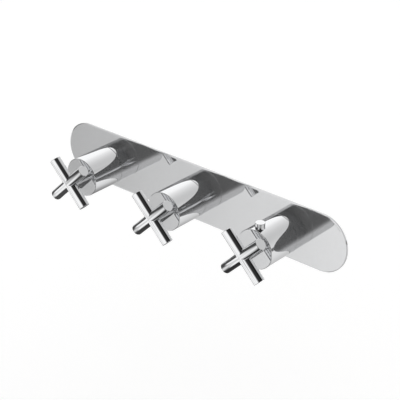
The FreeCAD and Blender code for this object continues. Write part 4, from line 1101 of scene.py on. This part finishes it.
@dataclass
class Manifold:
    """The three castings and what joins and carries them."""

    gallery_depth: float = 26.5
    gallery_rise: float = 3.0
    tube: float = 6.5
    tube_bore: float = 4.5
    edge: float = 0.3
    bracket_edge: float = 0.35
    seated: float = 7.9
    bracket_place: float = 70.0
    bracket_half: float = 11.0
    bracket_wall: float = 2.5
    eye_gap: float = 0.05
    strap: float = 4.0
    strap_top: float = -2.0
    foot_drop: float = -26.0
    hole: float = 2.75
    plug: float = 6.0
    plug_start: float = -170.0
    plug_end: float = -162.3
    key: float = 2.3

    def castings(self) -> tuple[Casting, ...]:
        """The three castings from left to right."""
        return (
            Casting("flow_body_left", Control.LEFT, -170, -116, (-140,), gallery_end=-114,
                    low_socket=6.1),
            Casting("flow_body_middle", Control.MIDDLE, -24, 24, (0,), gallery_end=26),
            Casting("valve_body", Control.RIGHT, 97, 170, (112, 168), gallery_end=133.5,
                    floor=30, passage=8.0, passage_top=-4, high_socket=0.0, rear=True),
        )

    def tubes(self) -> Thing:
        """The two gallery tubes, each from one casting into the next."""
        shapes = []
        castings = self.castings()
        for left, right in zip(castings, castings[1:]):
            low, high = left.high - self.seated, right.low + self.seated
            tube = lathe([(self.tube, low), (self.tube, high), (self.tube_bore, high),
                          (self.tube_bore, low)], 96)
            for place in (low, high):
                soften(tube, self.edge, 2, on_ring(self.tube, place))
            shapes.append(moved(turned(tube, -90.0, "Z"), 0, self.gallery_depth,
                                self.gallery_rise))
        return place_piece(gathered(shapes), "gallery_tubes_drawn", "valve",
                           (TURNED_BRASS,), ("gallery_tubes",))

    def bracket(self, x: float) -> Shape:
        """One fixing bracket: an eye round the tube and a strap with a screw hole."""
        low, high = x - self.bracket_half, x + self.bracket_half
        depth, rise = self.gallery_depth, self.gallery_rise
        back = depth + self.tube + self.bracket_wall
        front = back - self.strap
        shape = along_x(self.tube + self.bracket_wall, low, high, depth, rise)
        strap = block((low, front, self.foot_drop), (high, back, self.strap_top))
        shape = joined(shape, strap, Join.ADD)
        foot = along_y(self.bracket_half, x, front, back, self.foot_drop)
        shape = joined(shape, foot, Join.ADD)
        eye = along_x(self.tube + self.eye_gap, low - 1, high + 1, depth, rise)
        shape = joined(shape, eye, Join.CUT)
        hole = along_y(self.hole, x, front - 1, back + 1, self.foot_drop, 48)
        return joined(shape, hole, Join.CUT)

    def brackets(self, finish: Finish) -> Thing:
        """The two brackets, their edges lightly broken."""
        shape = gathered(self.bracket(side * self.bracket_place) for side in (-1, 1))
        soften(shape, self.bracket_edge, 2, is_corner)
        return place_piece(coated(shape, 0), "fixing_brackets_pressed", "valve", (finish,),
                           ("fixing_brackets",))

    def gallery_plug(self) -> Thing:
        """The plug at the gallery's left end, with its square key socket."""
        depth, rise, key = self.gallery_depth, self.gallery_rise, self.key
        shape = along_x(self.plug, self.plug_start, self.plug_end, depth, rise, 72)
        soften(shape, self.edge, 2, is_corner)
        middle = (self.plug_start + self.plug_end) / 2
        shape = joined(shape, block((self.plug_start - 1, depth - key, rise - key),
                                    (middle, depth + key, rise + key)), Join.CUT)
        return place_piece(coated(shape, 0), "gallery_plug_turned", "valve", (TURNED_BRASS,),
                           ("gallery_plug",))

    def build(self, slots: dict[str, str]) -> None:
        """Makes the brasswork behind the wall."""
        for casting in self.castings():
            casting.build()
        self.tubes()
        slot = slots["fixing_brackets"]
        self.brackets(SLOT_FINISH[slot])
        self.gallery_plug()


# ------------------------------------------------------------------ CAD nodes that stay


@dataclass
class CarriedNodes:
    """The CAD nodes whose own meshes stay, each with the finish of its material slot."""

    nodes: dict[str, Thing]
    slots: dict[str, str]

    def build(self) -> None:
        """Gives every node that isn't replaced its finish."""
        for name, node in self.nodes.items():
            finish = SLOT_FINISH[self.slots[name]]
            node.data.materials.clear()
            node.data.materials.append(finish.material())
            LOG.info("%s: carried over in %s", name, finish.name)


class Seat(Enum):
    """The end of a spring that stays still."""

    BELOW = 0
    ABOVE = 1


@dataclass(frozen=True)
class Coil:
    """A wire spring in the room of its CAD node, which gets a mesh of its own if a joint presses it.
    """

    node: str
    joint: str = ""
    seat: Seat = Seat.BELOW
    turns: int = 6
    wire: float = 0.3
    steps_per_turn: int = 28
    wire_sides: int = 10

    def helix(self, radius: float, length: float) -> Shape:
        """Winds the wire up the z axis.

        Args:
            radius: the outer radius in millimetres.
            length: the whole length in millimetres.

        Returns:
            The coil, with its lower end on the origin's level.
        """
        shape = bmesh.new()
        start = Matrix.Translation(((radius - self.wire) * MM, 0, self.wire * MM))
        bmesh.ops.create_circle(shape, radius=self.wire * MM, segments=self.wire_sides,
                                matrix=start @ Matrix.Rotation(math.pi / 2, 4, "X"))
        steps = self.turns * self.steps_per_turn
        rise = (length - 2 * self.wire) * MM / steps
        bmesh.ops.spin(shape, geom=list(shape.verts) + list(shape.edges), cent=(0, 0, 0),
                       axis=(0, 0, 1), dvec=(0, 0, rise), angle=math.tau * self.turns,
                       steps=steps)
        bmesh.ops.holes_fill(shape, edges=[edge for edge in shape.edges if edge.is_boundary])
        tidy(shape)
        return shape

    def build(self, frame: dict[str, Any], slot: str) -> Thing:
        """Makes the spring.

        Args:
            slot: its material slot in the record; not used.

        Returns:
            The spring.
        """
        body = next(name for name, nodes in frame["record"]["behaviour"]["bodies"].items()
                    if self.node in nodes)
        low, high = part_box(self.node)
        size, middle = (high - low) / MM, (high + low) / 2 / MM
        if self.joint:
            shape = moved(self.helix(size.x / 2, size.z), middle.x, middle.y, low.z / MM)
        else:
            shape = moved(turned(self.helix(size.x / 2, size.y), -90, "X"),
                          middle.x, low.y / MM, middle.z)
        spring = place_piece(shape, self.node + "_wound", body, (SPRING_STEEL,),
                             (self.node,))
        if self.joint:
            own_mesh(spring)
        return spring


# ------------------------------------------------------------------ studio


@dataclass(frozen=True)
class SoftDisc:
    """A round patch of light or shade in the surroundings, by direction."""

    azimuth: float
    elevation: float
    radius: float
    soft: float


@dataclass(frozen=True)
class SoftPanel:
    """A four-sided soft box in the surroundings: half sizes and edge widths are tangents."""

    azimuth: float
    elevation: float
    lean: float
    left: float
    right: float
    low: float
    high: float
    soft: float


def heading(azimuth: float, elevation: float) -> Vector:
    """The direction at an azimuth from +y towards +x and a height above the horizon."""
    across, up = math.radians(azimuth), math.radians(elevation)
    return Vector((math.sin(across) * math.cos(up), math.cos(across) * math.cos(up),
                   math.sin(up)))


@dataclass
class Studio:
    """The pale floor, the lit surroundings that the chrome mirrors, and the camera."""

    floor_height: float = -330.0
    floor_size: float = 9000.0
    base: float = 0.030
    azimuth: float = 40.216
    elevation: float = 27.518
    roll: float = 0.578
    lens: float = 125.49
    sensor: float = 36.0
    stand: tuple[float, float, float] = (995.76, -1176.28, 793.08)

    def floor(self) -> None:
        """Lays the floor, which the chrome doesn't mirror."""
        shape = bmesh.new()
        bmesh.ops.create_grid(shape, x_segments=2, y_segments=2, size=self.floor_size / 2 * MM,
                              matrix=Matrix.Translation((0, 0, self.floor_height * MM)))
        floor = as_object(shape, "floor", (PAPER,))
        floor.visible_glossy = False

    def disc(self, sheet: NodeSheet, place: object, zone: SoftDisc) -> Socket:
        """How far each direction is inside a soft disc, 0 to 1."""
        toward = sheet.dot(place, heading(zone.azimuth, zone.elevation))
        outer = math.cos(math.radians(zone.radius + zone.soft))
        inner = math.cos(math.radians(max(zone.radius - zone.soft, 0.0)))
        return sheet.ramp(toward, outer, inner)

    def panel(self, sheet: NodeSheet, place: object, zone: SoftPanel) -> Socket:
        """How far each direction is inside a soft box, 0 to 1."""
        toward = heading(zone.azimuth, zone.elevation)
        right = toward.cross(Vector((0, 0, 1))).normalized()
        right = Matrix.Rotation(math.radians(-zone.lean), 3, toward) @ right
        up = right.cross(toward).normalized()
        depth = sheet.math("MAXIMUM", sheet.dot(place, toward), 1e-3)
        across = sheet.math("DIVIDE", sheet.dot(place, right), depth)
        rise = sheet.math("DIVIDE", sheet.dot(place, up), depth)
        inside = sheet.ramp(across, zone.left - zone.soft, zone.left + zone.soft)
        for value, low, high in (
            (across, zone.right + zone.soft, zone.right - zone.soft),
            (rise, zone.low - zone.soft, zone.low + zone.soft),
            (rise, zone.high + zone.soft, zone.high - zone.soft),
        ):
            step = (sheet.ramp(value, low, high) if low < high
                    else sheet.ramp(value, high, low, 1.0, 0.0))
            inside = sheet.math("MULTIPLY", inside, step)
        front = sheet.math("GREATER_THAN", sheet.dot(place, toward), 0.01)
        return sheet.math("MULTIPLY", inside, front)

    def zones(self, backdrop: Socket) -> tuple[tuple[SoftDisc | SoftPanel, object], ...]:
        """The light and dark areas of the surroundings.

        The first three rows were set one by one. The others, the base level and the backdrop's
        fall-off come from a search program that compared traced reflections with the photograph's
        tones. They are rounded, and three of these rows were then changed.

        Args:
            backdrop: the level of the wide backdrop.

        Returns:
            The areas, each with its level. A later one covers an earlier one.
        """
        return (
            (SoftDisc(-90, 50, 26, 10), 0.7),
            (SoftDisc(0, 90, 16, 8), 0.7),
            (SoftDisc(88, -20, 26, 8), 0.6),
            (SoftDisc(-87, -28, 57, 2), 0.07),
            (SoftDisc(7, 11, 63, 5.4), backdrop),
            (SoftPanel(-174, -12, -3.3, -0.79, 0.77, -0.71, 0.88, 0.43), 1.0),
            (SoftDisc(-103, -41.5, 28, 2), 0.95),
            (SoftDisc(73, 32, 22, 5), 0.013),
            (SoftDisc(46, -6, 5.6, 2.4), 0.14),
            (SoftDisc(157.5, -33, 31.7, 10), 0.5),
            (SoftDisc(-66, -24, 24.5, 2), 0.03),
            (SoftDisc(137, -2, 21, 17), 0.03),
            (SoftDisc(-153, 19, 17.5, 3.6), 0.02),
            (SoftDisc(174, 62, 8.8, 9.9), 0.094),
            (SoftDisc(-43, 7, 25.7, 19.8), 1.04),
        )

    def surroundings(self) -> None:
        """Paints the soft boxes and dark flags round the object by direction."""
        world = bpy.data.worlds.new("studio")
        world.use_nodes = True
        bpy.context.scene.world = world
        sheet = NodeSheet(world.node_tree)
        place = sheet.add("ShaderNodeTexCoord").outputs["Generated"]
        level: object = self.base
        lean = sheet.math("ADD", sheet.dot(place, (-0.894, 0.0, 0.447)), 0.13)
        backdrop = sheet.math("MULTIPLY_ADD", sheet.math("MULTIPLY", lean, lean), 0.6, 0.58)
        for zone, value in self.zones(backdrop):
            inside = (self.disc if isinstance(zone, SoftDisc) else self.panel)(sheet, place, zone)
            level = sheet.blend(inside, level, value)
        paths = sheet.add("ShaderNodeLightPath").outputs
        level = sheet.blend(paths["Is Diffuse Ray"], level, 0.8)
        level = sheet.blend(paths["Is Camera Ray"], level, 1.0)
        glow = sheet.add("ShaderNodeBackground")
        glow.inputs["Color"].default_value = (1, 1, 1, 1)
        sheet.feed(glow.inputs["Strength"], level)
        sheet.feed(sheet.add("ShaderNodeOutputWorld").inputs["Surface"], glow.outputs[0])

    def camera(self) -> None:
        """Stands the camera where the photograph was taken from."""
        azimuth, elevation, roll = (math.radians(a) for a in
                                    (self.azimuth, self.elevation, self.roll))
        back = Vector((math.sin(azimuth) * math.cos(elevation),
                       -math.cos(azimuth) * math.cos(elevation), math.sin(elevation)))
        right = Vector((0, 0, 1)).cross(back).normalized()
        up = back.cross(right)
        right, up = (right * math.cos(roll) + up * math.sin(roll),
                     up * math.cos(roll) - right * math.sin(roll))
        data = bpy.data.cameras.new("camera")
        data.lens, data.sensor_width = self.lens, self.sensor
        camera = bpy.data.objects.new("camera", data)
        turn = Matrix((right, up, back)).transposed().to_4x4()
        camera.matrix_world = Matrix.Translation(Vector(self.stand) * MM) @ turn
        data.clip_start, data.clip_end = 0.05, 50.0
        bpy.context.scene.collection.objects.link(camera)
        bpy.context.scene.camera = camera

    def build(self) -> None:
        """Sets up the studio."""
        bpy.context.scene.view_settings.view_transform = "Standard"
        self.floor()
        self.surroundings()
        self.camera()


def main() -> None:
    """Builds and dresses every piece in order."""
    logging.basicConfig(level=logging.INFO, format="%(message)s")
    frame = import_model()
    slots = {row["node"]: row["material_slot"] for row in frame["record"]["subparts"]}
    CarriedNodes(frame["nodes"], slots).build()
    WallPlate().build()
    Collars().build()
    for control in Control:
        HandleBody(control).build()
        CrossHandle(control).build()
    OverrideButton().build()
    Manifold().build(slots)
    for spring in (Coil("button_spring", "button_push", Seat.BELOW, turns=5),
                   Coil("check_spring_hot", "check_hot_lift", Seat.ABOVE),
                   Coil("check_spring_cold", "check_cold_lift", Seat.ABOVE),
                   Coil("overload_spring", turns=4, wire=0.5)):
        spring.build(frame, slots[spring.node])
    Studio().build()


if __name__ == "__main__":
    main()
